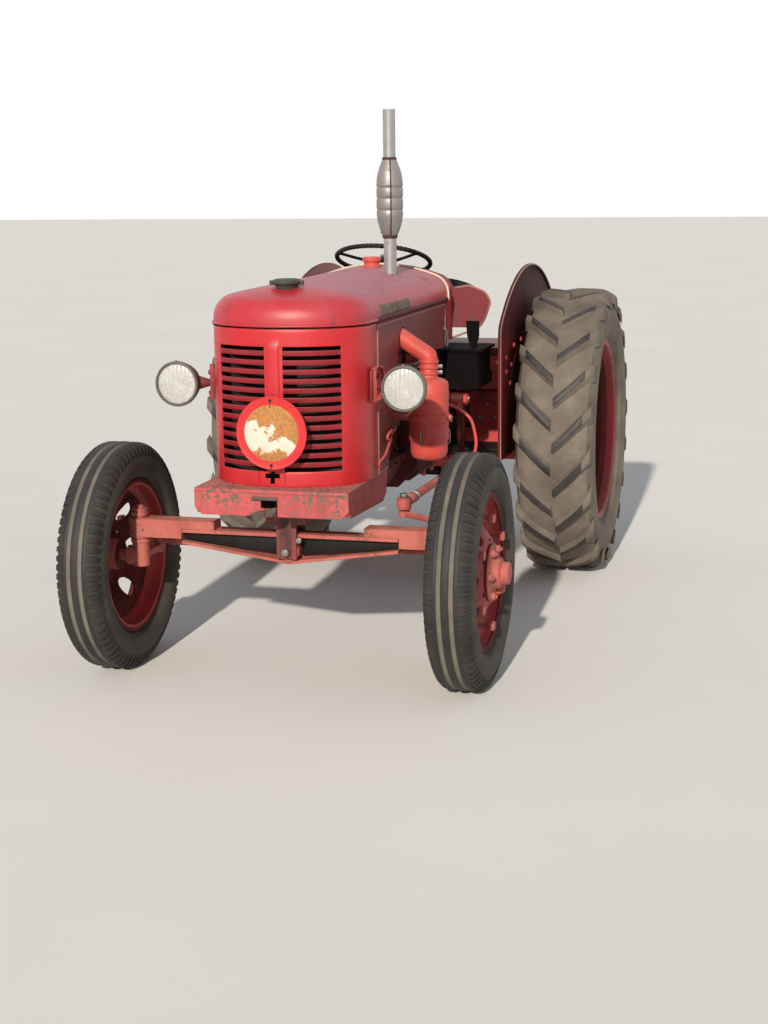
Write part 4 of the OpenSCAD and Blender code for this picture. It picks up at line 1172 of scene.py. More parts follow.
        def slat_coat(i: int, j: int) -> Finish:
            """Slats are duller than the sheet round them, and darker as painted shade of their downward tilt."""
            return SLAT_RED if slotted(j) and slots[0] < levels[i] < slots[-1] else RED

        shape = Shape()
        shape.grid(rows, RED, skip=open_slot, paint=slat_coat)
        shape.fit("nose_skin", "root", "body_paint", "nose_cowl", bevel=0.0016, smooth=45, wall=0.004)
        # Crank hole in the form of a cross between two creases, drawn as thin black sheets of painted shade
        marks, y = Shape(), self.nose - 0.0004
        marks.box(at(-0.034, y, 0.689), at(0.014, y + 0.003, 0.7035), SHADE_BLACK)
        marks.box(at(-0.0175, y - 0.0001, 0.671), at(-0.003, y + 0.003, 0.711), SHADE_BLACK)
        for x in (-0.057, 0.031):
            marks.box(at(x - 0.0007, y + x * x * 1.5, 0.672), at(x + 0.0007, y + 0.009, 0.713), SHADE_BLACK)
        marks.fit("crank_hole", "root")

    def core(self) -> None:
        """Radiator behind the slots: two tanks, the filler neck and a row of upright tubes."""
        shape = Shape()
        shape.box(at(-0.228, 0.0275, 0.7005), at(0.228, 0.094, 1.129), BLACK)
        shape.box(at(-0.24, 0.02, 1.1295), at(0.24, 0.101, 1.156), BLACK)
        shape.box(at(-0.24, 0.02, 0.6605), at(0.24, 0.101, 0.7), BLACK)
        shape.turned(mm([(0, 1150), (30, 1150), (30, 1279), (0, 1279)]), at(0, 0.008, 0), Z, BLACK)
        shape.box(at(-0.07, -0.036, 1.1295), at(0.07, 0.024, 1.155), BLACK)
        shape.fit("radiator_tanks", "root", "black_iron", "radiator", bevel=0.003)
        tube = Shape()
        tube.box((-0.0012, -0.004, 0), (0.0012, 0.0, 0.428), CORE)
        fit(Repeat.row("radiator_tubes", tube, 57, at(-0.224, 0.0278, 0.701), (0.008, 0, 0)), "root")

    def sign(self) -> None:
        """The blank round disc on the grille: a red ring with a rolled edge round a rusted white face."""
        shape, front = Shape(), self.nose - 0.046
        face = SignFace("rusted_white_enamel", self.disc_z)
        c = at(0.005, 0, self.disc_z)
        r = self.disc_r
        shape.turned([(0, front - 0.0006), (0.089, front - 0.0006), (self.face_r, front - 0.0002)], c,
            Y, face, 72)
        shape.turned([(self.face_r, front - 0.0002), (0.0902, front - 0.0012), (r - 0.004, front - 0.0012),
            (r - 0.001, front - 0.002), (r, front), (r - 0.0005, front + 0.003), (0, front + 0.003)], c,
            Y, RING_RED, 72)
        for z in (self.disc_z - 0.103, self.disc_z + 0.103):
            shape.rod(at(0.003, front - 0.0035, z), at(0.003, -0.142, z), 0.0048, BLACK, 12)
            shape.box(at(0.0005, front - 0.0016, z - 0.022), at(0.0045, front - 0.001, z), RUST)
        shape.fit("blank_disc", "root", "disc_paint", "speed_disc", smooth=40)

    def badges(self) -> None:
        """Blank cast plates on the shoulders of the bonnet."""
        shape = Shape()

        def plate() -> None:
            """One plate that follows the shoulder."""
            rows = []
            for station in (0.18, 0.184, 0.3, 0.43, 0.556, 0.56):
                rim = station in (0.18, 0.56)
                row = []
                for k in range(7):
                    z_share = k / 6
                    climb = 0.016 + 0.04 * z_share
                    angle = max(climb - self.side_rise, 0) / self.shoulder_r
                    out = -0.001 if rim or k in (0, 6) else 0.0032
                    x = self.half_width - self.shoulder_r + (self.shoulder_r + out) * cos(angle)
                    z = self.seam_z + min(climb, self.side_rise) + (self.shoulder_r + out) * sin(angle)
                    row.append(at(x, station, z))
                rows.append(row)
            shape.grid(rows, BADGE)

        shape.both_sides(plate)
        shape.fit("blank_badges", "root", bevel=0.001, smooth=30)

    def piping(self) -> None:
        """The cream bead between bonnet and scuttle, and the moulding along each side seam."""
        arch = self.section(1.136, self.seam_z + 0.004, -0.0035, 12)
        fit(Repeat.pipe("cream_piping", arch, 0.0042, BEAD_CREAM), "root")
        shape = Shape()

        def moulding() -> None:
            """Half-round strip over the seam, from the nose corner to the scuttle."""
            outline = [(self.half_width - 0.001, self.seam_z - 0.002)]
            outline += [(self.half_width + 0.006 * sin(pi * k / 6),
                self.seam_z + 0.007 - 0.01 * cos(pi * k / 6)) for k in range(1, 6)]
            outline += [(self.half_width - 0.001, self.seam_z + 0.018)]
            shape.grid([[at(x, s, z) for x, z in outline] for s in (0.134, 1.128)], PANEL_RED)
            shape.prism(outline, at(0, 0.1338, 0).y, at(0, 1.1282, 0).y, Y, PANEL_RED)

        shape.both_sides(moulding)
        shape.fit("seam_mouldings", "root", "body_paint", smooth=50)
        for name, side in SIDES:
            x = side * (self.half_width + 0.0005)
            path = [at(x, 0.25, 0.668), at(x, 0.137, 0.668), at(x, 0.1345, 0.672), at(x, 0.1345, 1.148),
                    at(x, 0.139, 1.1525), at(x, 0.6, 1.1525), at(x, 1.088, 1.1525), at(x, 1.0925, 1.148),
                    at(x, 1.0925, 1.014)]
            fit(Repeat.pipe(f"panel_bead_{name}", dense(path), 0.0028, BEAD_PINK, 8), "root")

    def scuttle_skin(self) -> None:
        """The short cowl behind the bonnet with its smooth shoulder."""
        shape = Shape()
        front, back = self.scuttle
        rows = [self.section(s, 1.01, 0.004) for s in (front, front + 0.048, back)]
        shape.grid(rows, BONNET_RED)
        shape.fit("scuttle_skin", "root", "body_paint", "scuttle", smooth=50, wall=self.sheet, bevel=0.001)

    def caps(self) -> None:
        """Radiator cap with two wings and the fuel cap on its neck."""
        shape = Shape()
        c, top = at(0, 0.008, 0), self.crown_z
        shape.turned([(0, top - 0.012), (0.034, top - 0.012), (0.036, top + 0.002), (0.047, top + 0.008),
            (0.048, top + 0.016), (0.042, top + 0.0215), (0.034, top + 0.0235), (0, top + 0.0245)], c,
            Z, CAP_GREY, 40)
        for side in (-1, 1):
            shape.box(near(c, side * 0.048 - 0.008, -0.008, top + 0.004),
                near(c, side * 0.048 + 0.008, 0.008, top + 0.018), CAP_GREY)
        tank, base = at(0, 1.02, 0), self.crown(1.02)
        shape.turned([(0, base - 0.002), (0.034, base - 0.002), (0.034, base + 0.004),
            (0.029, base + 0.008), (0.029, base + 0.018), (0.035, base + 0.02), (0.0355, base + 0.033),
            (0.032, base + 0.0365), (0, base + 0.0375)], tank, Z, SALMON, 40)
        shape.fit("filler_cap_set", "root", "black_iron", "filler_caps", bevel=0.0012)

    def build(self) -> None:
        """Builds every piece of the sheetwork."""
        self.bonnet()
        self.nose_skin()
        self.core()
        self.sign()
        self.badges()
        self.piping()
        self.scuttle_skin()
        self.caps()


def clamped(value: float) -> float:
    """A value held between 0 and 1."""
    return min(max(value, 0), 1)


def dense(path: Sequence[Point], gap: float = 0.05) -> list[Vector]:
    """Adds points on long straight stretches, so that a smooth curve through them stays straight."""
    out = [Vector(path[0])]
    for a, b in zip(path, path[1:]):
        a, b = Vector(a), Vector(b)
        steps = max(int((b - a).length / gap), 1)
        out += [a.lerp(b, k / steps) for k in range(1, steps + 1)]
    return out


# Wheels and tyres


@dataclass
class Wheel:
    """What both kinds of wheel share. Sizes are metres about the wheel's own centre, +x outboard."""

    side: str

    @property
    def end(self) -> str:
        """The tractor's end, as in the names of the pieces."""
        return "front" if isinstance(self, FrontWheel) else "rear"

    @property
    def sign(self) -> int:
        """+1 on the tractor's left, -1 on its right."""
        return dict(SIDES)[self.side]

    @property
    def centre(self) -> Vector:
        """Centre of the wheel."""
        if self.end == "front":
            return at(self.sign * FRONT_X, 0, FRONT_R)
        return at(self.sign * REAR_X, WHEELBASE, REAR_R)

    def shape(self, moved: bool = True) -> Shape:
        """A shape whose +x is outboard, about the wheel's centre if moved."""
        made = Shape()
        place_at = Matrix.Translation(self.centre) if moved else Matrix.Identity(4)
        made.shift = place_at @ Matrix.Diagonal((self.sign, 1, 1, 1))
        return made

    def fit_tyre(self, pieces: Sequence[Object]) -> None:
        """Joins the tyre's pieces and puts them on the wheel's body."""
        name = f"{self.end}_tyre_{self.side}"
        fit(joined(name + "_rubber", pieces), f"{self.end}_wheel_{self.side}", f"{self.end}_rubber", name)

    def fit_rim(self, shape: Shape) -> None:
        """Puts the finished rim on the wheel's body."""
        body = f"{self.end}_wheel_{self.side}"
        shape.fit(f"{self.end}_rim_{self.side}", body, "wheel_rim", body, bevel=0.0012, smooth=38)

    def build(self) -> None:
        """Tyre and rim."""
        self.tyre()
        self.rim()


@dataclass
class FrontWheel(Wheel):
    """Pressed disc wheel with a three-rib tyre."""

    width: float = 0.166
    rim_r: float = 0.2415
    rim_w: float = 0.118
    window_r: float = 0.152
    window_d: float = 0.062
    fins: int = 76
    hub_end: float = 0.128
    stud_r: float = 0.08
    bolt_r: float = 0.176

    def tyre(self) -> None:
        """Carcass with ribs, two dusty grooves and a bead; then fins round both shoulders."""
        r, w, b = FRONT_R, self.width / 2, self.rim_r
        half = [(b + 0.004, 0.047), (b + 0.016, 0.0495), (b + 0.02, 0.053), (b + 0.024, 0.062),
            (b + 0.036, 0.073), (b + 0.05, 0.0805), (b + 0.062, w - 0.0015), (b + 0.072, w - 0.0012),
            (b + 0.084, w - 0.004), (r - 0.047, w - 0.009), (r - 0.036, w - 0.012), (r - 0.022, w - 0.0185),
            (r - 0.0125, w - 0.026), (r - 0.0065, w - 0.035), (r - 0.003, 0.043)]
        tread = [(r - 0.003, 0.043), (r - 0.001, 0.036), (r - 0.0006, 0.0285), (r - 0.0018, 0.0268),
            (r - 0.0045, 0.0258), (r - 0.005, 0.0195), (r - 0.0045, 0.0132), (r - 0.0018, 0.0122),
            (r - 0.0005, 0.0105), (r, 0.004)]
        shape, c = self.shape(), Vector((0, 0, 0))
        for s in (-1, 1):
            shape.turned([(q, s * x) for q, x in half], c, X, WALL_RUBBER, 144)
            for part, finish in ((tread[:4], FRONT_RUBBER), (tread[3:8], GROOVE_RUBBER),
                    (tread[7:] + [(r, 0)], FRONT_RUBBER)):
                shape.turned([(q, s * x) for q, x in part], c, X, finish, 144)
        inside = [(b + 0.004, 0.047), (b + 0.016, 0.04), (b + 0.04, 0.064), (r - 0.042, 0.06),
            (r - 0.022, 0.03)]
        shape.turned(mirrored(inside), c, X, FRONT_RUBBER, 72)
        body = shape.piece(f"front_tyre_{self.side}_carcass", smooth=40)
        fin = Shape()
        for s in (-1, 1):
            rows = []
            for q, x, wide, lift in ((r - 0.002, 0.041, 0.0105, -0.002),
                    (r - 0.003, 0.043, 0.0105, 0.003), (r - 0.0075, 0.051, 0.0102, 0.0054),
                    (r - 0.0165, 0.06, 0.0098, 0.0062), (r - 0.029, 0.067, 0.0092, 0.0058),
                    (r - 0.042, 0.0715, 0.0086, 0.0042), (r - 0.052, 0.0735, 0.008, -0.001)):
                up, out = 0.62 * lift, 0.78 * lift
                rows.append([(s * (x - 0.003), -wide, q - 0.004), (s * (x + out), -wide + 0.0015, q + up),
                    (s * (x + out), wide - 0.0015, q + up), (s * (x - 0.003), wide, q - 0.004)])
            fin.grid(rows, FIN_RUBBER, closed=True)
            fin.add(rows[0] + rows[-1], [(0, 1, 2, 3), (7, 6, 5, 4)], FIN_RUBBER)
        fins = Repeat.ring(f"front_tyre_{self.side}_fins", fin, self.fins, self.centre)
        self.fit_tyre([body, fins])

    def rim(self) -> None:
        """Rolled rim with its gutters, and a dished disc with round windows."""
        b, w = self.rim_r, self.rim_w / 2
        outer = [(b + 0.014, -w + 0.001), (b + 0.0175, -w + 0.0005), (b + 0.0185, -w + 0.004),
            (b + 0.016, -w + 0.0065), (b + 0.003, -w + 0.009), (b + 0.0005, -w + 0.014), (b, -w + 0.038),
            (b - 0.006, -w + 0.044), (b - 0.018, -w + 0.05), (b - 0.022, -w + 0.056)]
        inner = [(b + 0.013, w - 0.0005), (b + 0.004, w - 0.0025), (b - 0.004, w - 0.004),
            (b - 0.0055, w - 0.01), (b - 0.006, w - 0.036), (b - 0.012, w - 0.044), (b - 0.024, w - 0.05),
            (b - 0.028, w - 0.056)]
        loop = mirrored(outer) + mirrored(inner)
        shape = self.shape()
        shape.turned(loop, ORIGIN, X, RIM_RED, 120, looped=True,
            paint=rim_coat(len(loop), 2 * len(outer), DISC_RED, RIM_RED))
        profile = [(b - 0.0245, 0.004), (0.206, 0.0065), (0.196, 0.01), (0.186, 0.0125), (0.172, 0.016),
            (0.16, 0.022), (0.146, 0.033), (0.132, 0.044), (0.118, 0.054), (0.104, 0.061), (0.056, 0.064)]
        self.disc(shape, profile)
        self.fixings(shape)
        self.fit_rim(shape)

    def disc(self, shape: Shape, profile: list[tuple[float, float]]) -> None:
        """The dished disc, pierced by six windows with turned-in lips."""
        def depth(radius: float) -> float:
            """Outboard offset of the disc's face at a radius."""
            for (r0, x0), (r1, x1) in zip(profile, profile[1:]):
                if r1 <= radius <= r0:
                    return x0 + (x1 - x0) * (r0 - radius) / (r0 - r1)
            return profile[-1][1]

        top, low, hole = 0.201, 0.104, self.window_d / 2
        # The inboard face takes the dark disc red: painted shade and dirt
        for face, finish in ((0.0, RIM_RED), (-0.006, DISC_RED)):
            shape.turned([(q, x + face) for q, x in profile if q > top] + [(top, depth(top) + face)],
                ORIGIN, X, finish, 120)
            shape.turned([(low, depth(low) + face)] + [(q, x + face) for q, x in profile if q < low],
                ORIGIN, X, finish, 120)
        rows = 32
        for k in range(6):
            middle = radians(30 + 60 * k)
            rings: list[list[Point]] = [[], [], [], [], []]
            for i in range(rows):
                t = tau * i / rows
                u, v = cos(t), sin(t)
                # Outer ring: the border of this sector, cut by a ray from the window's centre
                reach = 1.0
                for halving in range(1, 29):
                    radius = hypot(self.window_r + reach * u, reach * v)
                    angle = atan2(reach * v, self.window_r + reach * u)
                    outside = radius > top or radius < low or abs(angle) > radians(30)
                    reach += (-1 if outside else 1) * 0.5 ** halving
                for ring, (scale, sink) in zip(rings, ((None, 0.0), (hole + 0.004, 0.0), (hole, -0.003),
                        (hole, -0.009), (None, -0.006))):
                    length = reach if scale is None else scale
                    a, c = self.window_r + length * u, length * v
                    radius, angle = hypot(a, c), atan2(c, a) + middle
                    ring.append((depth(radius) + sink, radius * sin(angle), radius * cos(angle)))
            # The windows' turned-in lips take the dark disc red: painted shade and dirt
            shape.grid(rings, RIM_RED, closed=True, paint=lambda i, j: RIM_RED if i < 2 else DISC_RED)

    def fixings(self, shape: Shape) -> None:
        """Hub barrel with its cap, flange with nuts, and long square-headed rim bolts."""
        shape.turned([(0.052, 0.004), (0.052, 0.062), (0.07, 0.064), (0.094, 0.0655), (0.094, 0.072),
            (0.091, 0.074), (0.056, 0.075), (0.053, 0.078), (0.0505, 0.096), (0.046, 0.1), (0.038, 0.103),
            (0.037, 0.108), (0.037, 0.12), (0.034, 0.126), (0.026, self.hub_end),
            (0, self.hub_end + 0.001)], ORIGIN, X, AXLE_RED, 48)
        shape.turned([(0, 0.004), (0.052, 0.004)], ORIGIN, X, DISC_RED, 48)
        for y, z in circle(6, self.stud_r, 0.5):
            shape.nut((0.0735, y, z), X, 0.022, 0.014, AXLE_RED)
            shape.rod((0.084, y, z), (0.094, y, z), 0.0062, AXLE_RED, 12)
        for y, z in circle(6, self.bolt_r):
            shape.rod((0.012, y, z), (0.062, y, z), 0.0085, AXLE_RED, 12)
            shape.nut((0.058, y, z), X, 0.027, 0.02, AXLE_RED, 4)


def mirrored(half: list[tuple[float, float]]) -> list[tuple[float, float]]:
    """A profile of (radius, x), followed by its mirror image backwards."""
    return half + [(q, -x) for q, x in half[::-1]]


def rim_coat(count: int, middle: int, edge: Finish, barrel: Finish) -> Paint:
    """One finish for the rolled edges of a rim's loop, at its ends and middle, another between."""
    return lambda i, j: edge if min(i, abs(i - middle), count - i) < 3 else barrel


@dataclass
class RearWheel(Wheel):
    """Traction tyre on a dished disc wheel."""

    width: float = 0.317
    lug_h: float = 0.026
    lugs: int = 20
    sweep: float = radians(15)
    rim_r: float = 0.3555
    rim_w: float = 0.25
    stud_r: float = 0.1
    bolt_r: float = 0.304

    def carcass_radius(self, x: float) -> float:
        """Radius of the carcass under the tread at a distance from the centre plane."""
        r, w = REAR_R - self.lug_h, self.width / 2
        t = min(abs(x) / w, 1.0)
        return r - 0.01 * t * t - 0.03 * max(t - 0.62, 0) ** 2 / 0.1444

    def tyre(self) -> None:
        """Carcass with round shoulders and ringed sidewalls, and the two rows of curved lugs."""
        r, w, b = REAR_R - self.lug_h, self.width / 2, self.rim_r
        crown = [(self.carcass_radius(x), x) for x in (0, 0.04, 0.08, 0.105, 0.122, 0.136)]
        wall = [(r - 0.052, w - 0.012), (r - 0.066, w - 0.005), (r - 0.08, w - 0.002),
            (r - 0.09, w - 0.003), (r - 0.093, w - 0.0005), (r - 0.1, w), (r - 0.106, w - 0.0025),
            (b + 0.066, w - 0.008), (b + 0.05, w - 0.016), (b + 0.046, w - 0.0155), (b + 0.04, w - 0.0195),
            (b + 0.03, 0.128), (b + 0.023, 0.1215), (b + 0.012, 0.114), (b + 0.0045, 0.111)]
        shape = self.shape()
        for s in (-1, 1):
            shape.turned([(q, s * x) for q, x in crown + wall], ORIGIN, X, REAR_RUBBER, 160)
        shape.turned([(b + 0.0045, 0.111), (b + 0.0045, -0.111)], ORIGIN, X, REAR_RUBBER, 80)
        parts = [shape.piece(f"rear_tyre_{self.side}_carcass", smooth=40)]
        for s in (-1, 1):
            lug = self.shape(moved=False)
            self.lug(lug, s)
            first = 0.0 if s > 0 else pi / self.lugs
            parts.append(Repeat.ring(f"rear_lugs_{self.side}_{'out' if s > 0 else 'in'}", lug, self.lugs,
                self.centre, first, bevel=0.0028))
        self.fit_tyre(parts)

    def lug(self, shape: Shape, s: int) -> None:
        """One lug from the middle of the tread, bending and widening to the shoulder, with worn edges."""
        w, rows = self.width / 2, []
        count = 10
        for i in range(count + 1):
            t = i / count
            x = 0.004 + (w - 0.011) * t
            turn = self.sweep * (0.85 * t + 0.15 * t * t)
            half = 0.015 + 0.005 * t + 0.003 * max(t - 0.7, 0) / 0.3
            drop = 0.004 * t * t + 0.019 * max(t - 0.66, 0) ** 1.6 / 0.34 ** 1.6
            top = REAR_R - 0.0005 - drop
            foot = self.carcass_radius(x) - 0.006
            row = []
            for wide, height in ((-half - 0.014, foot), (-half, top - 0.003), (-half + 0.003, top),
                    (half - 0.003, top), (half, top - 0.003), (half + 0.014, foot)):
                a = turn + wide / height
                row.append((s * x, height * sin(a), height * cos(a)))
            rows.append(row)
        tip = []
        for wide, height in ((-0.032, 0.508), (-0.021, 0.536), (-0.017, 0.54), (0.017, 0.54),
                (0.021, 0.536), (0.032, 0.508)):
            a = self.sweep * 1.02 + wide / height
            tip.append((s * (w - 0.004), height * sin(a), height * cos(a)))
        rows.append(tip)
        # The worn face is dark up to the shoulder, the flanks carry soil
        shape.grid(rows, REAR_RUBBER,
            paint=lambda i, j: LUG_RUBBER if j in (1, 2, 3) and i < 8 else REAR_RUBBER)
        shape.add([p for row in (rows[0], rows[-1]) for p in row], [range(6), range(11, 5, -1)],
            REAR_RUBBER)

    def rim(self) -> None:
        """Rim with rolled edges and a disc that is dished towards the tractor."""
        b, w = self.rim_r, self.rim_w / 2
        outer = [(b + 0.014, -w + 0.0005), (b + 0.0178, -w + 0.002), (b + 0.0175, -w + 0.0055),
            (b + 0.003, -w + 0.009), (b, -w + 0.016), (b, -w + 0.038), (b - 0.02, -w + 0.052),
            (b - 0.022, -w + 0.058)]
        inner = [(b + 0.012, w - 0.0005), (b - 0.002, w - 0.003), (b - 0.006, w - 0.012),
            (b - 0.006, w - 0.036), (b - 0.026, w - 0.052), (b - 0.028, w - 0.058)]
        loop = mirrored(outer) + mirrored(inner)
        shape = self.shape()
        # The barrel between the rolled edges takes the dark disc red: painted shade and dirt
        shape.turned(loop, ORIGIN, X, RIM_RED, 144, looped=True,
            paint=rim_coat(len(loop), 2 * len(outer), RIM_RED, DISC_RED))
        front = [(b - 0.0245, -0.054), (0.318, -0.054), (0.304, -0.056), (0.292, -0.066), (0.262, -0.088),
            (0.24, -0.098), (0.19, -0.102), (0.12, -0.104), (0.098, -0.103)]
        # The rear disc takes the dark disc red: painted shade and dirt
        for face in (0.0, -0.007):
            shape.turned([(q, x + face) for q, x in front], ORIGIN, X, DISC_RED, 120)
        shape.turned(mm([(130, -129), (130, -108), (127, -104.5), (100, -103.5), (66, -100), (66, -62),
            (62, -58), (40, -57), (38, -44), (0, -43)]), ORIGIN, X, DISC_RED, 64)
        shape.turned([(0, -0.1285), (0.13, -0.1285)], ORIGIN, X, DISC_RED, 64)
        shape.rod((-0.307, 0, 0), (-0.12, 0, 0), 0.0345, STEEL, 32)
        for y, z in circle(8, self.stud_r, 0.5):
            shape.nut((-0.104, y, z), X, 0.028, 0.018, RIM_RED)
            shape.rod((-0.088, y, z), (-0.076, y, z), 0.008, STEEL, 12)
        for y, z in circle(8, self.bolt_r):
            shape.nut((-0.055, y, z), X, 0.026, 0.014, RIM_RED, 4)
            shape.box((-0.055, y - 0.02, z - 0.02), (-0.05, y + 0.02, z + 0.02), RIM_RED)
        self.fit_rim(shape)


# Fenders


@dataclass
class Fender:
    """Flat plate fender with a rolled lip and bolt heads, in stations from the front axle line."""

    side: str
    x: float = 0.44
    lip: float = 0.013
    front: float = 1.23
    back: float = 2.462
    top: float = 1.268
    crown_r: float = 1.0
    foot: float = 0.53
    front_corner: float = 0.06
    back_corner: float = 0.045
    sheet: float = 0.003
    bolts: tuple[tuple[float, float], ...] = (
        (1.671, 0.971), (1.522, 0.961), (1.359, 0.926), (1.461, 0.888), (1.442, 0.818), (1.36, 0.871))

    def line(self, count: int = 36) -> list[tuple[float, float]]:
        """Outline from the front foot over the crown to the back end, as station and height."""
        centre = self.top - self.crown_r

        def corner(y: float, r: float) -> float:
            """Height of a corner arc's centre that touches the crown from within."""
            return centre + sqrt((self.crown_r - r) ** 2 - (y - WHEELBASE) ** 2)

        def arc(y: float, z: float, r: float, a: float, b: float, n: int) -> list[tuple[float, float]]:
            """Points of an arc from angle a to b."""
            return [(y + r * cos(a + (b - a) * i / n), z + r * sin(a + (b - a) * i / n))
                    for i in range(n + 1)]

        fr, br = self.front_corner, self.back_corner
        fy, by = self.front + fr, self.back - br
        fz, bz = corner(fy, fr), corner(by, br)
        fa, ba = atan2(fz - centre, fy - WHEELBASE), atan2(bz - centre, by - WHEELBASE)
        return ([(self.front, self.foot), (self.front, 0.8)] + arc(fy, fz, fr, pi, fa + 0.05, 8)
                + arc(WHEELBASE, centre, self.crown_r, fa, ba, count) + arc(by, bz, br, ba - 0.05, 0, 8)
                + [(self.back, 0.8)])

    def build(self) -> None:
        """Plate, lip with a rolled edge, stiffener and bolts."""
        shape = Shape(dict(SIDES)[self.side])
        line = self.line()
        x, s = self.x, self.sheet

        def ring(offset_x: float, inset: float) -> list[Vector]:
            """The outline moved inwards across its own normal."""
            out = []
            for i, p in enumerate(line):
                a, b = line[max(i - 1, 0)], line[min(i + 1, len(line) - 1)]
                d = hypot(b[0] - a[0], b[1] - a[1])
                out.append(at(offset_x, p[0] + inset * (b[1] - a[1]) / d, p[1] - inset * (b[0] - a[0]) / d))
            return out

        # Lip: outside, rolled edge and inside; the rolled edge takes the pale edge pink, part wear, part painted
        # highlight
        shape.grid([ring(x + 0.001, 0.0), ring(x + self.lip - 0.004, 0.0),
            ring(x + self.lip - 0.0008, 0.001), ring(x + self.lip, 0.004),
            ring(x + self.lip - 0.0008, 0.0072), ring(x + self.lip - 0.004, 0.008),
            ring(x + self.lip - 0.0045, s), ring(x + s, s)], FENDER_RED,
            paint=lambda i, j: BEAD_PINK if 0 < i < 5 else FENDER_RED)
        outline = line + [(WHEELBASE + 0.178, 0.78), (WHEELBASE - 0.176, 0.779),
            (WHEELBASE - 0.176, self.foot)]
        plate = [(y + AXLE_LINE, z) for y, z in outline]
        shape.prism(plate, x, x + 0.0015, X, FENDER_INNER)
        shape.prism(plate, x + 0.0016, x + s, X, FENDER_RED)
        # Stiffener behind the plate's front half, its edge pressed through
        rim = [at(x + s, WHEELBASE - 0.5 * cos(a), 0.56 + 0.44 * sin(a))
               for a in (radians(d) for d in range(8, 68, 6))]
        shape.tube(rim, 0.003, FENDER_RED, 8)
        for y, z in self.bolts:
            c = at(x + s, y, z)
            shape.nut(c, X, 0.019, 0.008, RIM_RED)
            shape.nut(at(x, y, z), X, 0.016, -0.006, FENDER_RED)
        shape.fit(f"fender_{self.side}_sheet", "root", "body_paint", f"fender_{self.side}", bevel=0.0009,
            smooth=40)


# Lamps


@dataclass
class Headlamp:
    """Round lamp with a rolled bezel, fluted glass and a bent strap on a post."""

    side: str
    x: float = 0.386
    station: float = 0.004
    z: float = 0.966
    radius: float = 0.075
    glass_r: float = 0.0655
    flutes: int = 9

    def build(self) -> None:
        """Shell, bezel, reflector, glass and bracket."""
        sign = dict(SIDES)[self.side]
        c = at(sign * self.x, self.station, self.z)
        r = self.radius
        shape = Shape()
        # Axis distances run backwards from the lens
        shape.turned(mm([(0, 90), (12, 89.5), (26, 86.5), (40, 80), (52, 70), (61, 56), (66.5, 40),
            (69, 24), (70, 8)]), c, Y, LAMP_GREY, 56)
        shape.turned([(0.07, 0.008), (0.0748, 0.0065), (r, 0.002), (r, -0.004), (0.0735, -0.0085),
            (0.069, -0.01), (0.0665, -0.0085), (0.0655, -0.0035), (0.0645, -0.002)], c, Y,
            LAMP_GREY, 56)
        shape.rod(near(c, 0, -0.0065, r - 0.003), near(c, 0, -0.0065, r + 0.004), 0.004, STEEL, 10)
        shape.turned(mm([(65.5, -3), (62, 12), (52, 32), (36, 48), (14, 56), (0, 57)]), c, Y, REFLECTOR, 48)
        shape.turned(mm([(0, 20), (8, 21), (9.5, 28), (6, 40), (6, 56)]), c, Y, STEEL, 20)
        shape.fit(f"lamp_{self.side}_shell", "root", "lamp_shell", f"headlamp_{self.side}", smooth=40)
        glass, rows = Shape(), []
        steps = 37
        for i in range(steps):
            u = -self.glass_r + 2 * self.glass_r * i / (steps - 1)
            half = sqrt(max(self.glass_r ** 2 - u * u, 0)) + 1e-4
            flute = 0.0012 * cos(tau * self.flutes * i / (steps - 1)) * (abs(u) < 0.04)
            row = []
            for k in range(13):
                v = half * (-1 + k / 6)
                dome = 0.0085 * (1 - (u * u + v * v) / self.glass_r ** 2)
                row.append(c + Vector((u, -0.003 - max(dome, 0) - flute * (1 if 0 < k < 12 else 0), v)))
            rows.append(row)
        glass.grid(rows, LENS)
        glass.fit(f"lamp_{self.side}_glass", "root", "lamp_shell", smooth=60, wall=0.0022)
        self.bracket(sign)

    def bracket(self, sign: int) -> None:
        """Plate and block on the panel, a stay to the shell, and the bent strap of the left lamp."""
        shape = Shape(sign)
        low, high = self.z - 0.052, self.z + 0.052
        shape.box(at(0.2643, 0.034, low), at(0.272, 0.084, high), PANEL_RED)
        shape.box(at(0.272, 0.044, low), at(0.286, 0.074, high + 0.01), RIM_RED)
        for z in (self.z - 0.034, self.z + 0.034):
            shape.nut(at(0.286, 0.059, z), X, 0.016, 0.009, RIM_RED)
        strap = mm([(-36, 62), (30, 70), (78, 60), (100, 30), (100, -8), (78, -34), (30, -43), (-36, -40)])
        rows = []
        for wide, deep in ((0.286, 0.0), (0.3, 0.0), (0.3, -0.007), (0.286, -0.007)):
            rows.append([at(wide, y * (1 + deep * 4), self.z + z * (1 + deep * 9)) for y, z in strap])
        if sign > 0:
            shape.grid(rows, SALMON, looped=True)
        shape.rod(at(0.286, 0.058, self.z), at(0.33, 0.05, self.z), 0.01, PANEL_RED, 20, end=0.024)
        shape.fit(f"lamp_{self.side}_bracket", "root", "black_iron", bevel=0.0012, smooth=40)


# Engine side, exhaust and air cleaner


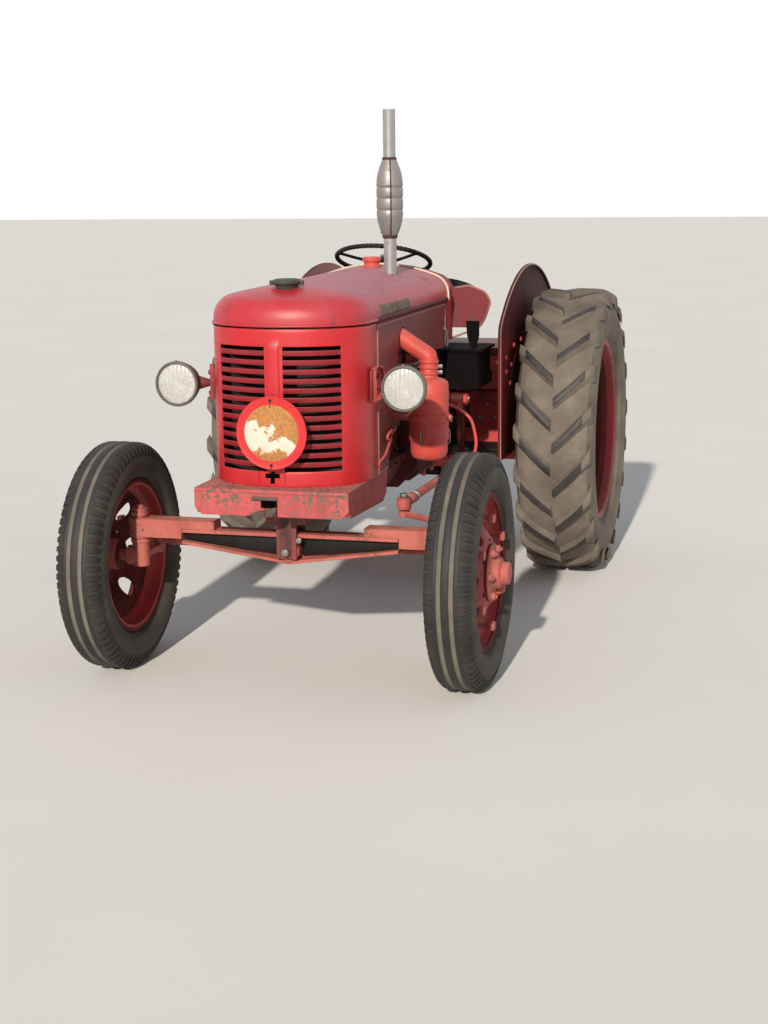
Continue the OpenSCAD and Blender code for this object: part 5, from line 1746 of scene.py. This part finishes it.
@dataclass
class EngineSide:
    """Exhaust stack, air cleaner and the fittings seen in the open engine bay."""

    stack: tuple[float, float] = (0.12, 0.842)
    cleaner: tuple[float, float] = (0.36, 0.44)

    def exhaust(self) -> None:
        """Slim silencer with pressed rings, a folded seam and weather-stained pipe."""
        shape, c = Shape(), at(self.stack[0], self.stack[1], 0)
        body = mm([(27, 1420), (34, 1435), (40, 1452), (44.5, 1470), (47.5, 1490), (48, 1505)])
        for z in (1.511, 1.553, 1.591):
            body += [(0.048, z - 0.006), (0.0468, z - 0.003), (0.045, z), (0.0468, z + 0.003),
                (0.048, z + 0.006)]
        body += mm([(48, 1600), (46.8, 1620), (43, 1640), (37, 1660), (31, 1676), (25, 1688)])
        shape.turned(mm([(20, 1150), (23, 1150), (23, 1409)]), c, Z, STACK_METAL, 40)
        shape.turned(mm([(23, 1408), (26.5, 1409), (28.5, 1420), (27, 1421)]), c, Z, RUST, 40)
        shape.turned(body, c, Z, SILENCER, 56)
        shape.turned(mm([(25, 1687), (26.2, 1689), (26.2, 1696), (22.2, 1697)]), c, Z, RUST, 40)
        shape.turned(mm([(22.2, 1696), (22.2, 1862), (22.4, 1864.5), (21.2, 1865), (19.8, 1863),
            (19.6, 1690), (0, 1690)]), c, Z, STACK_METAL, 40)
        shape.turned([(0.0, 1.15), (0.02, 1.15)], c, Z, STACK_METAL, 24)
        # Lap seam down the silencer, rusted through its paint
        a = radians(-70)
        seam = [near(c, q * cos(a), q * sin(a), z) for q, z in [(0.0265, 1.412), *body, (0.0262, 1.694)]]
        shape.tube(seam, 0.0026, RUST, 8)
        for turn in (a, a + 2.1, a + 4.2):
            u = Vector((cos(turn), sin(turn), 0))
            shape.tube([c + 0.026 * u + Vector((0, 0, 1.414)), c + 0.031 * u + Vector((0, 0, 1.426)),
                c + 0.038 * u + Vector((0, 0, 1.43))], 0.0022, RUST, 6)
        shape.turned(mm([(24, 1150.5), (31, 1150.5), (31.5, 1158), (24.5, 1160)]), c, Z, RUST, 32,
            looped=True)
        shape.fit("exhaust_pipe_and_silencer", "root", "stack_steel", "exhaust_stack", smooth=50)

    def air_cleaner(self) -> None:
        """Oil-bath canister with a clamped lid, hose bands and the bent intake pipe."""
        shape = Shape()
        x, y = self.cleaner
        c = at(x, y, 0)
        shape.turned(mm([(0, 672.5), (46, 673), (56, 678), (61.5, 688), (64, 700), (64, 732), (65.5, 737),
            (69, 741), (69, 750), (68, 754), (68, 896), (69, 900), (69, 906), (68, 910), (68, 930),
            (65.5, 937), (56, 945), (43, 950), (33, 953), (31, 956), (31, 1022)]), c, Z, SALMON, 56)
        for z in (0.964, 0.984, 1.003):
            shape.band(0.0312, 0.035, z, z + 0.009, c, SALMON, 40)
        for z in (0.968, 0.988):
            shape.box(near(c, 0.032, -0.006, z - 0.003), near(c, 0.048, 0.006, z + 0.009), STEEL)
            shape.rod(near(c, 0.043, -0.013, z + 0.003), near(c, 0.043, 0.013, z + 0.003), 0.003, STEEL, 10)
        shape.band(0.0684, 0.0715, 0.8, 0.828, c, SALMON, 48)
        shape.rod(near(c, 0.006, -0.0685, 0.755), near(c, 0.006, -0.0685, 0.928), 0.0012, SALMON, 8)
        shape.box(at(0.123, 0.412, 0.8065), at(x - 0.062, 0.468, 0.8235), CAST_RED)
        shape.box(near(c, 0.066, -0.01, 0.803), near(c, 0.08, 0.01, 0.825), SALMON)
        shape.rod(near(c, 0.076, -0.02, 0.814), near(c, 0.076, 0.02, 0.814), 0.004, STEEL, 10)
        # Snap clips that hold the oil bowl
        for a in (radians(-100), radians(20), radians(140)):
            u = Vector((cos(a), sin(a), 0))
            shape.tube([c + 0.065 * u + Vector((0, 0, 0.722)), c + 0.0715 * u + Vector((0, 0, 0.728)),
                c + 0.0725 * u + Vector((0, 0, 0.76)), c + 0.069 * u + Vector((0, 0, 0.772))], 0.0024,
                STEEL, 8)
        # Mitred elbow and the straight pipe that climbs to the engine
        shape.tube([at(x, y, 1.0), at(x, y, 1.02), at(x, y, 1.024), at(x - 0.008, y + 0.002, 1.03),
            at(x - 0.016, y + 0.003, 1.035), at(0.2, 0.471, 1.121), at(0.184, 0.474, 1.13)],
            [0.0305, 0.031, 0.031, 0.031, 0.0305, 0.0305, 0.0305], SALMON, 28)
        shape.rod(at(0.184, 0.474, 1.0668), at(0.184, 0.474, 1.122), 0.0245, CAST_RED, 32)
        shape.fit("air_cleaner_set", "root", "worn_paint", "air_cleaner", bevel=0.0008, smooth=45)

    def fittings(self) -> None:
        """Dipstick, bolts, fuel pipes, breather and top hose on the side of the block."""
        shape = Shape()
        # Dipstick, pipe ends and the bolts round the block and sump
        shape.rod(at(0.121, 0.86, 0.7), at(0.16, 0.866, 0.8), 0.006, STEEL, 12)
        shape.turned(mm([(0, 0), (13, 1), (13, 4), (0, 5)]), at(0.16, 0.866, 0.8), Z, BLACK, 16)
        for k in range(4):
            shape.nut(at(0.1215, 0.332 + 0.142 * k, 0.962), X, 0.024, 0.018, STEEL)
        for z in (0.634, 0.936):
            for k in range(6):
                shape.nut(at(0.1215, 0.3 + 0.112 * k, z), X, 0.02, 0.012, ENGINE_RED)
        for k in range(7):
            shape.nut(at(0.152, 0.262 + 0.1 * k, 0.5995), X, 0.016, 0.008, ENGINE_RED)
        shape.box(at(0.1205, 0.29, 0.985), at(0.132, 0.88, 0.999), ENGINE_RED)
        shape.fit("engine_side_fittings", "root", "cast_paint", bevel=0.002, smooth=40)
        for k in range(4):
            y, pump = 0.372 + 0.142 * k, 0.588 + 0.038 * k
            path = [(0.156, pump, 0.86), (0.16, pump, 0.89), (0.166, 0.5 * y + 0.28, 0.925),
                (0.152, y - 0.04, 0.952), (0.142, y - 0.04, 0.962)]
            fit_pipe(f"fuel_pipe_{k + 1}", path, 0.0032, STEEL, 8)
        pipe = mm([(260, 880, 812), (323, 900, 799), (366, 900, 780), (403, 900, 749), (420, 900, 700),
            (425, 900, 649), (405, 902, 612), (300, 905, 590), (185, 930, 590)])
        fit_pipe("breather_pipe", pipe, 0.006, SALMON, 10)
        hose = mm([(100, 90, 1120), (100, 160, 1120), (96, 230, 1108), (80, 290, 1092), (70, 320, 1086)])
        fit_pipe("top_hose", hose, 0.024, BLACK, 20)

    def build(self) -> None:
        """Builds stack, cleaner and fittings."""
        self.exhaust()
        self.air_cleaner()
        self.fittings()


# Front casting, axle and steering


@dataclass
class FrontEnd:
    """Bolster trim, axle bolts and steering joints. Stations from the front axle line."""

    bumper: float = -0.2
    outer_top: float = 0.514
    ball: tuple[float, float, float] = (0.345, 0.15, 0.568)
    drop: tuple[float, float] = (1.215, 0.782)
    link_rear_z: float = 0.552
    rod_arm: float = 0.16
    rod_z: float = 0.404

    def bolster(self) -> None:
        """Studs in the bolster, the pivot pin's end, and the bumper's lip and bent tongue."""
        shape = Shape()

        def studs() -> None:
            """Nuts under the nose."""
            for x in (0.055, 0.105):
                shape.nut(at(x, 0.02, 0.5745), Z, 0.022, -0.012, STEEL)

        shape.both_sides(studs)
        shape.turned(mm([(0, -74), (10, -74), (13, -71), (14.8, -62)]), at(0, 0, 0.43), Y, STEEL, 28)
        shape.nut(at(0.044, -0.0525, 0.47), Y, 0.02, -0.01, STEEL)
        # Rolled lip over the bumper's top edge, and the notch with its bent tongue; the notch is a black sheet of
        # painted shade
        face = self.bumper
        shape.box(at(-0.2565, face - 0.0022, 0.6475), at(0.2565, face - 0.0003, 0.6592), BUMPER_RED)
        shape.box(at(-0.062, face - 0.006, 0.627), at(0.024, face - 0.0003, 0.638), SCUFF)
        shape.box(at(-0.029, face - 0.0009, 0.604), at(0.02, face + 0.002, 0.628), SHADE_BLACK)
        shape.prism([(x, z) for x, z in ((-0.061, 0.586), (-0.022, 0.597), (0.023, 0.606), (0.015, 0.586),
            (-0.013, 0.571), (-0.055, 0.574), (-0.08, 0.576))], face + AXLE_LINE - 0.0045,
            face + AXLE_LINE - 0.0003, Y, SCUFF)
        shape.fit("bolster_studs", "root", "worn_paint", bevel=0.001, smooth=40)

    def axle(self) -> None:
        """Black sheets in the beams' webs as painted shade, collars of the bosses and grease nipples."""
        shape = Shape()

        def half() -> None:
            """The left half."""
            # Black sheet in the web between the flanges of the centre beam: painted shade of the recessed web
            shape.prism(mm([(39, 474), (372, 474), (372, 446), (39, 411)]), AXLE_LINE - 0.0125,
                AXLE_LINE + 0.0125, Y, BLACK)
            shape.turned(mm([(36.2, 452), (38.5, 454), (38.5, 466), (36.2, 468)]), at(KINGPIN_X, 0, 0), Z,
                AXLE_RED, 40, looped=True)
            shape.turned(mm([(36.2, 492), (38, 494), (38, 510), (36.2, 512.5)]), at(KINGPIN_X, 0, 0), Z,
                AXLE_RED, 40, looped=True)
            shape.rod(at(KINGPIN_X - 0.02, -0.033, 0.48), at(KINGPIN_X - 0.024, -0.045, 0.48), 0.0035,
                STEEL, 10)

        shape.both_sides(half)
        shape.fit("axle_bolts", "root", "worn_paint", bevel=0.0012, smooth=40)

    def knuckles(self) -> None:
        """Kingpin nuts and collars on each knuckle, pins at the arm ends."""
        for side, sign in SIDES:
            shape = Shape(sign)
            top = self.outer_top + 0.0312
            pin = at(KINGPIN_X, 0, 0)
            shape.turned([(0, top + 0.011), (0.01, top + 0.011), (0.0125, top + 0.008), (0.0125, top),
                (0, top)], pin, Z, AXLE_RED, 28)
            shape.nut(at(KINGPIN_X, 0, top), Z, 0.034, 0.0065, AXLE_RED)
            shape.turned([(0.0252, self.outer_top + 0.004), (0.0285, self.outer_top + 0.006),
                (0.0285, self.outer_top + 0.018), (0.0252, self.outer_top + 0.02)], pin, Z, AXLE_RED,
                36, looped=True)
            shape.rod(at(KINGPIN_X + 0.006, -0.024, 0.53), at(KINGPIN_X + 0.008, -0.037, 0.53), 0.0052,
                STEEL, 12)
            end = at(KINGPIN_X, self.rod_arm, 0)
            shape.nut(end + Vector((0, 0, self.rod_z + 0.0162)), Z, 0.026, 0.014, STEEL)
            shape.nut(end + Vector((0, 0, self.rod_z - 0.0342)), Z, 0.024, -0.008, STEEL)
            shape.turned(mm([(29.2, 428.5), (32.5, 430), (32.5, 441), (29.2, 443)]), pin, Z, AXLE_RED, 36,
                looped=True)
            if side == "left":
                x, y, z = self.ball
                tip = at(x, y, 0)
                shape.nut(tip + Vector((0, 0, z + 0.0202)), Z, 0.026, 0.013, STEEL)
                shape.turned(mm([(0, 521.5), (12, 521.5), (18.5, 524), (18.5, 527.5), (0, 527.5)]), tip, Z,
                    AXLE_RED, 28)
            shape.fit(f"knuckle_{side}_fixings", f"knuckle_{side}", "worn_paint", bevel=0.001, smooth=40)

    def links(self) -> None:
        """Ball caps, clamps and nuts of drag link, track rod and drop arm."""
        x, y, z = self.ball
        shape = Shape()
        a, b = at(x, y + 0.012, z), at(x, self.drop[0] - 0.006, self.link_rear_z)
        for t0, t1 in ((0.045, 0.105), (0.9, 0.96)):
            shape.rod(a.lerp(b, t0), a.lerp(b, t1), 0.0185, AXLE_RED, 28)
        for t in (0.12, 0.885):
            p = a.lerp(b, t)
            shape.rod(a.lerp(b, t - 0.008), a.lerp(b, t + 0.008), 0.0195, STEEL, 28)
            shape.rod(p + Vector((-0.006, 0, -0.024)), p + Vector((-0.006, 0, 0.024)), 0.004, STEEL, 12)
        shape.turned([(0.0232, z - 0.0165), (0.0245, z - 0.015), (0.0245, z + 0.013), (0.0232, z + 0.0145)],
            at(x, y, 0), Z, AXLE_RED, 36, looped=True)
        shape.fit("drag_link_clamps", "drag_link", "worn_paint", bevel=0.0008, smooth=40)
        rod = Shape()

        def end() -> None:
            """The left end of the track rod."""
            rod.rod(at(0.432, self.rod_arm, self.rod_z), at(0.492, self.rod_arm, self.rod_z), 0.0165,
                    AXLE_RED, 28)
            rod.rod(at(0.42, self.rod_arm, self.rod_z), at(0.432, self.rod_arm, self.rod_z), 0.0185, STEEL,
                    6)
            rod.turned(mm([(18.2, -11), (19.5, -9), (19.5, 9), (18.2, 11)]),
                at(KINGPIN_X, self.rod_arm, self.rod_z), Z, AXLE_RED, 36, looped=True)

        rod.both_sides(end)
        rod.fit("track_rod_ends", "track_rod", "worn_paint", bevel=0.0008, smooth=40)
        arm = Shape()
        sy, sz = self.drop
        arm.nut(at(0.3222, sy, self.link_rear_z), X, 0.028, -0.0005, STEEL)
        arm.nut(at(0.2884, sy, self.link_rear_z), X, 0.028, -0.013, STEEL)
        arm.nut(at(0.3102, sy, sz), X, 0.042, 0.016, CAST_RED)
        arm.rod(at(0.324, sy, sz), at(0.332, sy, sz), 0.012, STEEL, 16)
        arm.fit("drop_arm_nuts", "drop_arm", "cast_paint", bevel=0.001, smooth=40)

    def build(self) -> None:
        """Builds all trim of the front end."""
        self.bolster()
        self.axle()
        self.knuckles()
        self.links()


# Driver's place and rear


@dataclass
class DriverPlace:
    """Dash, steering wheel, seat, rear box and controls. Stations from the front axle line."""

    dash: float = 1.236
    gauges: tuple[float, ...] = (-0.04, 0.09, 0.17)
    gauge_z: float = 1.17
    wheel: tuple[float, float, float] = (-0.085, 1.5, 1.298)
    tilt: float = radians(20)
    wheel_r: float = 0.198
    seat: tuple[float, float] = (1.93, 1.06)
    box_low: float = 0.768
    box_top: float = 0.938

    def dash_board(self) -> None:
        """Edge bead round the dash wings, gauges with bezels, and screws."""
        shape = Shape()
        for x in self.gauges:
            c = at(x, self.dash, self.gauge_z)
            shape.turned(mm([(29.8, -12), (30, 4.5), (33.5, 4.8), (34, 8.5), (31, 10.5), (27.5, 9.5),
                (26.8, 6), (0, 6.2)]), c, Y, BLACK, 40)
            shape.turned(mm([(0, 7.2), (26.5, 7.2), (26.8, 6.4)]), c, Y, BEAD_CREAM, 40)
            shape.box(near(c, -0.001, 0.007, -0.002), near(c, 0.001, 0.0086, 0.019), BLACK)
        for x in (-0.29, -0.16, 0.02, 0.23, 0.33):
            shape.nut(at(x, self.dash + 0.0042, 1.12), Y, 0.011, 0.004, STEEL)
        shape.fit("dash_gauges", "root", "black_iron", smooth=40)
        edge = mm([(250, 1012), (300, 1030), (360, 1054), (384, 1084), (401, 1128), (407, 1156),
            (386, 1190), (356, 1203), (326, 1214), (298, 1210), (270, 1206)])
        for name, sign in SIDES:
            path = [(sign * x, self.dash + 0.002, z) for x, z in edge]
            fit_pipe(f"dash_edge_{name}", path, 0.0042, BEAD_PINK, 10)

    def steering(self) -> None:
        """Rim, three round spokes and a hub with its nut."""
        c = at(*self.wheel)
        axis = Vector((0, sin(self.tilt), cos(self.tilt)))
        u = Vector((1, 0, 0))
        v = axis.cross(u)
        shape, rows = Shape(), []
        r, thick = self.wheel_r - 0.0095, 0.0092
        for i in range(120):
            a = tau * i / 120
            out = cos(a) * u + sin(a) * v
            grip = 0.0007 * cos(60 * a)
            rows.append([c + (r + (thick + grip) * cos(b)) * out + (thick + grip) * sin(b) * axis
                for b in (tau * k / 14 for k in range(14))])
        shape.grid(rows, BLACK, closed=True, looped=True)
        for k in range(3):
            a = radians(90 + 120 * k)
            out = cos(a) * u + sin(a) * v
            shape.tube([c + 0.02 * out - 0.014 * axis, c + 0.06 * out - 0.013 * axis,
                c + 0.12 * out - 0.008 * axis, c + 0.17 * out - 0.002 * axis, c + (r - 0.004) * out],
                [0.0075, 0.0066, 0.006, 0.006, 0.0066], BLACK, 14)
        turn = Matrix.Translation(c) @ Matrix.Rotation(-self.tilt, 4, "X")
        shape.shift = turn
        shape.turned(mm([(11, -28), (22, -28), (27, -24), (28, -8), (26, -2), (20, 4), (18, 10),
            (0, 10.5)]), ORIGIN, Z, BLACK, 40)
        shape.nut((0, 0, 0.01), Z, 0.026, 0.011, STEEL)
        shape.rod((0, 0, -0.3), (0, 0, -0.02), 0.0108, STEEL, 24)
        shape.turned(mm([(11.2, -66), (26, -62), (27, -40), (23.5, -32), (11.2, -30)]), ORIGIN, Z, BLACK,
            32)
        shape.fit("steering_wheel_set", "steering_wheel", "black_iron", "steering_wheel", smooth=40)

    def seat_pan(self) -> None:
        """Pressed pan seat with a turned-over rim and the bolts of its spring."""
        y0, z0 = self.seat
        shape, rows = Shape(), []
        count = 48
        rings = ((0.0, 0.004), (0.35, 0.0055), (0.62, 0.01), (0.8, 0.02), (0.92, 0.04), (1.0, 0.066))
        for scale, rise in rings + ((1.022, 0.069), (1.03, 0.064), (1.024, 0.059)):
            row = []
            for k in range(count):
                a = tau * k / count
                ca, sa = cos(a), sin(a)
                n = 2.6
                reach = (abs(ca) ** n + abs(sa) ** n) ** (-1 / n)
                x, y = 0.206 * reach * ca * scale, 0.182 * reach * sa * scale
                back = max(sa, 0.0) ** 1.5
                height = rise * (0.62 + 1.25 * back) + 0.01 * (scale ** 2) * (1 - back)
                front = max(-sa, 0.0) ** 2
                height -= 0.026 * front * max(scale - 0.6, 0) / 0.4
                row.append(at(x, y0 + y - 0.004, z0 + 0.003 + height))
            rows.append(row)
        shape.grid(rows, BLACK, closed=True)
        for x, y in ((-0.04, 0.0), (0.04, 0.0), (0.0, 0.06), (0.0, -0.06)):
            shape.nut(at(x, y0 + y, z0 + 0.0085), Z, 0.018, 0.006, STEEL)
        shape.fit("seat_pan", "root", "black_iron", "seat", smooth=60, wall=0.0025)

    def rear_box(self) -> None:
        """Sheet box under the seat with a lid seam, hinges and latches, and bolts on the axle's front."""
        shape = Shape()
        y0, y1 = WHEELBASE - 0.215, WHEELBASE + 0.205
        hw, low, top = 0.423, self.box_low + 0.0005, self.box_top
        corner = 0.012
        outline = []
        for cx, cy, start in ((hw - corner, y1 - corner, 0), (-hw + corner, y1 - corner, 90),
                (-hw + corner, y0 + corner, 180), (hw - corner, y0 + corner, 270)):
            outline += [(cx + corner * cos(radians(start + d)),
                cy + corner * sin(radians(start + d)) + AXLE_LINE) for d in (0, 30, 60, 90)]
        shape.prism(outline, low, top - 0.034, Z, CAST_RED)
        lid = [(x * 1.004, (y - AXLE_LINE - WHEELBASE) * 1.006 + WHEELBASE + AXLE_LINE) for x, y in outline]
        shape.prism(lid, top - 0.031, top, Z, PANEL_RED)
        for x in (-0.28, 0.28):
            shape.rod(at(x - 0.03, y1 + 0.004, top - 0.032), at(x + 0.03, y1 + 0.004, top - 0.032), 0.006,
                STEEL, 12)
        for x in (-0.2, 0.2):
            shape.box(at(x - 0.014, y0 - 0.0045, top - 0.06), at(x + 0.014, y0 - 0.0005, top - 0.012),
                STEEL)
        for x in (-0.306, 0.306):
            for a in (radians(d) for d in (90, 210, 330)):
                shape.nut(at(x + 0.036 * cos(a), 1.6678, 0.664 + 0.036 * sin(a)), Y, 0.013, -0.006,
                    STEEL)
        shape.fit("rear_box", "root", "body_paint", "toolbox", bevel=0.003, smooth=40)

    def rear_castings(self) -> None:
        """Studs of the rear castings, pads and grips of the footplates, hand lever and fender hooks."""
        shape = Shape()

        def half() -> None:
            """The left half."""
            for k in range(7):
                a = radians(20 + 320 * k / 6)
                shape.nut(at(0.1955, 1.85 + 0.15 * sin(a), 0.604 + 0.125 * cos(a)), X, 0.022, 0.018,
                    CAST_RED)
            for y in (1.12, 1.25, 1.38, 1.51, 1.6):
                shape.nut(at(0.1652, y, 0.79), X, 0.02, 0.012, CAST_RED)
                shape.nut(at(0.1652, y, 0.5), X, 0.02, 0.012, CAST_RED)
            for y in (1.72, 1.78, 1.92, 1.98):
                shape.nut(at(0.427, y, 0.8082), Z, 0.02, 0.012, STEEL)
            for z in (0.58, 0.68, 0.78):
                shape.nut(at(0.186, 0.93, z), X, 0.02, 0.012, CAST_RED)
            shape.rod(at(0.27, 1.408, 0.8305), at(0.27, 1.436, 0.8305), 0.002, STEEL, 8)
            for k in range(5):
                shape.box(at(0.242 + 0.012 * k, 1.409, 0.8298), at(0.248 + 0.012 * k, 1.435, 0.833), BLACK)
            shape.box(at(0.192, 1.425, 0.5531), at(0.432, 1.61, 0.5545), BLACK)
            for k in range(9):
                shape.rod(at(0.2 + 0.028 * k, 1.43, 0.5548), at(0.2 + 0.028 * k, 1.606, 0.5548),
                    0.0024, BLACK, 8)

        shape.both_sides(half)
        for x, y in ((-0.12, 1.18), (0.12, 1.18), (-0.12, 1.34), (0.12, 1.24)):
            shape.nut(at(x, y, 0.9062), Z, 0.02, 0.011, STEEL)
        shape.fit("rear_casting_studs", "root", "cast_paint", bevel=0.001, smooth=40)
        lever = mm([(360, 1241, 839), (361, 1330, 830), (362, 1425, 826), (362, 1455, 838),
            (360, 1467, 865)])
        fit_pipe("hand_lever", lever, 0.0085, BLACK, 14)
        hook = mm([(443, 1569, 752), (449, 1569, 752), (457, 1569, 746), (458, 1569, 732),
            (450, 1569, 724)])
        for name, sign in SIDES:
            fit_pipe(f"fender_hook_{name}", [(sign * x, y, z) for x, y, z in hook], 0.0042, STEEL, 10,
                0.004)

    def latches(self) -> None:
        """Spring handles that hold the front of the side panels, and the rear latches."""
        front = mm([(6, 288, 780), (12, 262, 793), (14, 215, 790), (14, 190, 778), (14, 215, 766),
            (12, 250, 768), (16, 200, 752), (18, 150, 728), (12, 105, 711), (10, 100, 700), (10, 125, 688)])
        rear = mm([(3, 1052, 1068), (10, 1060, 1058), (12, 1076, 1034), (10, 1088, 1006), (4, 1092, 998)])
        for name, sign in SIDES:
            loop, catch = ([(sign * (0.2645 + out), y, z) for out, y, z in path] for path in (front, rear))
            fit_pipe(f"panel_latch_front_{name}", loop, 0.0042, SALMON, 10, 0.005)
            fit_pipe(f"panel_latch_rear_{name}", catch, 0.005, STEEL, 10, 0.005)

    def build(self) -> None:
        """Builds the driver's place and the rear."""
        self.dash_board()
        self.steering()
        self.seat_pan()
        self.rear_box()
        self.rear_castings()
        self.latches()


# Carried-over frame parts, stage and camera


@dataclass(frozen=True)
class FrameFinish:
    """The finish that a carried-over frame part gets."""

    finish: Finish
    nodes: tuple[str, ...]

    def dress(self, objects: dict[str, Object]) -> None:
        """Assigns the material to every slot of each part."""
        for name in self.nodes:
            part = objects[name]
            for slot in part.material_slots:
                slot.material = self.finish.material()
            LOG.info("%s: %s", name, self.finish.name)


CARRIED = (
    FrameFinish(BUMPER_RED, ("front_bolster",)),
    FrameFinish(AXLE_RED, ("front_axle", "knuckle_left", "knuckle_right", "drag_link", "track_rod")),
    FrameFinish(ENGINE_RED, ("engine", "transmission", "steering_box", "dynamo", "drop_arm")),
    FrameFinish(CAST_RED, ("rear_axle",)),
    FrameFinish(PANEL_RED, ("side_panel_left", "side_panel_right", "dash_panel")),
    FrameFinish(BOX_SHADE_BLACK, ("battery_box",)),
    FrameFinish(BLACK, ("seat_support", "footplate_left", "footplate_right", "drawbar", "controls")),
    FrameFinish(STEEL, ("pto_shaft",)),
)


@dataclass
class Stage:
    """Pale floor, soft light and the camera that matches the photograph."""

    eye: tuple[float, float, float] = (1.769, -6.32775, 1.631)
    yaw: float = 0.268
    pitch: float = 0.192
    roll: float = -0.011
    lens: float = 60.78
    sun: float = 3.9
    side_lamp: float = 12
    fill: float = 0.32

    def camera(self) -> None:
        """Camera with its lens across the long side of the picture."""
        data = bpy.data.cameras.new("view")
        data.lens, data.sensor_width, data.sensor_fit = self.lens, 36.0, "AUTO"
        holder = bpy.data.objects.new("view", data)
        ahead = Vector((-sin(self.yaw) * cos(self.pitch), cos(self.yaw) * cos(self.pitch),
            -sin(self.pitch)))
        right = Vector((cos(self.yaw), sin(self.yaw), 0))
        up = right.cross(ahead)
        side = cos(self.roll) * right + sin(self.roll) * up
        top = -sin(self.roll) * right + cos(self.roll) * up
        holder.matrix_world = Matrix((
            (side.x, top.x, -ahead.x, self.eye[0]), (side.y, top.y, -ahead.y, self.eye[1]),
            (side.z, top.z, -ahead.z, self.eye[2]), (0, 0, 0, 1)))
        bpy.context.scene.collection.objects.link(holder)
        bpy.context.scene.camera = holder

    def light(self, name: str, kind: str, place: Point, aim: Point, energy: float, size: float,
            colour: str) -> None:
        """One lamp that looks at a point."""
        data = bpy.data.lights.new(name, kind)
        data.energy, data.color = energy, linear(colour)[:3]
        if kind == "AREA":
            data.size = size
        else:
            data.angle = size
        holder = bpy.data.objects.new(name, data)
        holder.location = place
        holder.rotation_euler = (Vector(aim) - Vector(place)).to_track_quat("-Z", "Y").to_euler()
        bpy.context.scene.collection.objects.link(holder)

    def surroundings(self) -> None:
        """Even world light, white to the camera, in gloss and through glass, softer elsewhere."""
        world = bpy.data.worlds.new("studio")
        bpy.context.scene.world = world
        world.use_nodes = True
        tree = world.node_tree
        tree.nodes.clear()
        rays = add(tree, "ShaderNodeLightPath").outputs
        fill = add(tree, "ShaderNodeBackground", {"Color": linear("#E9EEF4"), "Strength": self.fill})
        plain = add(tree, "ShaderNodeBackground", {"Color": linear("#FFFFFF"), "Strength": 1.0})
        shown = larger(tree, rays["Is Camera Ray"],
            larger(tree, rays["Is Glossy Ray"], rays["Is Transmission Ray"]))
        mix = add(tree, "ShaderNodeMixShader", {0: shown, 1: fill.outputs[0], 2: plain.outputs[0]})
        add(tree, "ShaderNodeOutputWorld", {"Surface": mix.outputs[0]})

    def floor(self) -> None:
        """A plain pale floor that fades to the white behind it."""
        shape = Shape()
        shape.add([(-40, -40, 0), (40, -40, 0), (40, 60, 0), (-40, 60, 0)], [(0, 1, 2, 3)], FLOOR)
        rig.stage(shape.piece("floor"))

    def build(self) -> None:
        """Lights, surroundings and floor."""
        self.light("key", "SUN", (0.35, -8.0, 3.6), (0, 0, 0), self.sun, radians(1.5), "#FFF6E8")
        self.light("side", "AREA", (5.5, 1.5, 3.2), (0.2, 0.2, 0.6), self.side_lamp, 3.5, "#F2F5FF")
        self.surroundings()
        self.floor()


@dataclass(frozen=True)
class Paper(Finish):
    """Pale matt studio floor with the faintest cloud in it."""

    name: str = "pale_floor_paper"

    def build(self, tree: Tree, shader: Node) -> None:
        """A nearly even pale grey."""
        colour = blend(tree, ramp(tree, noise(tree, 0.8, 3), 0.3, 0.7), linear("#F3F2F0"),
            linear("#EFEEEB"))
        feed(tree, shader, "Base Color", colour)
        shader.inputs["Roughness"].default_value = 0.85


FLOOR = Paper()


def keep_size() -> None:
    low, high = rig.bounds()
    with open(SIZE_FILE, "a", encoding="utf-8") as out:
        out.write(json.dumps([[round(c, 5) for c in low], [round(c, 5) for c in high]]) + "\n")


def main() -> None:
    """Builds the whole tractor on its frame."""
    logging.basicConfig(level=logging.INFO, format="%(message)s")
    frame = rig.load()
    open(SIZE_FILE, "w", encoding="utf-8").close()
    keep_size()
    view = bpy.context.scene.view_settings
    view.view_transform = "Standard"
    stage = Stage()
    stage.camera()
    Sheetwork().build()
    for side, _ in SIDES:
        FrontWheel(side).build()
        RearWheel(side).build()
        Fender(side).build()
        Headlamp(side).build()
    EngineSide().build()
    FrontEnd().build()
    DriverPlace().build()
    for entry in CARRIED:
        entry.dress(frame["nodes"])
    stage.build()
    keep_size()


if __name__ == "__main__":
    main()
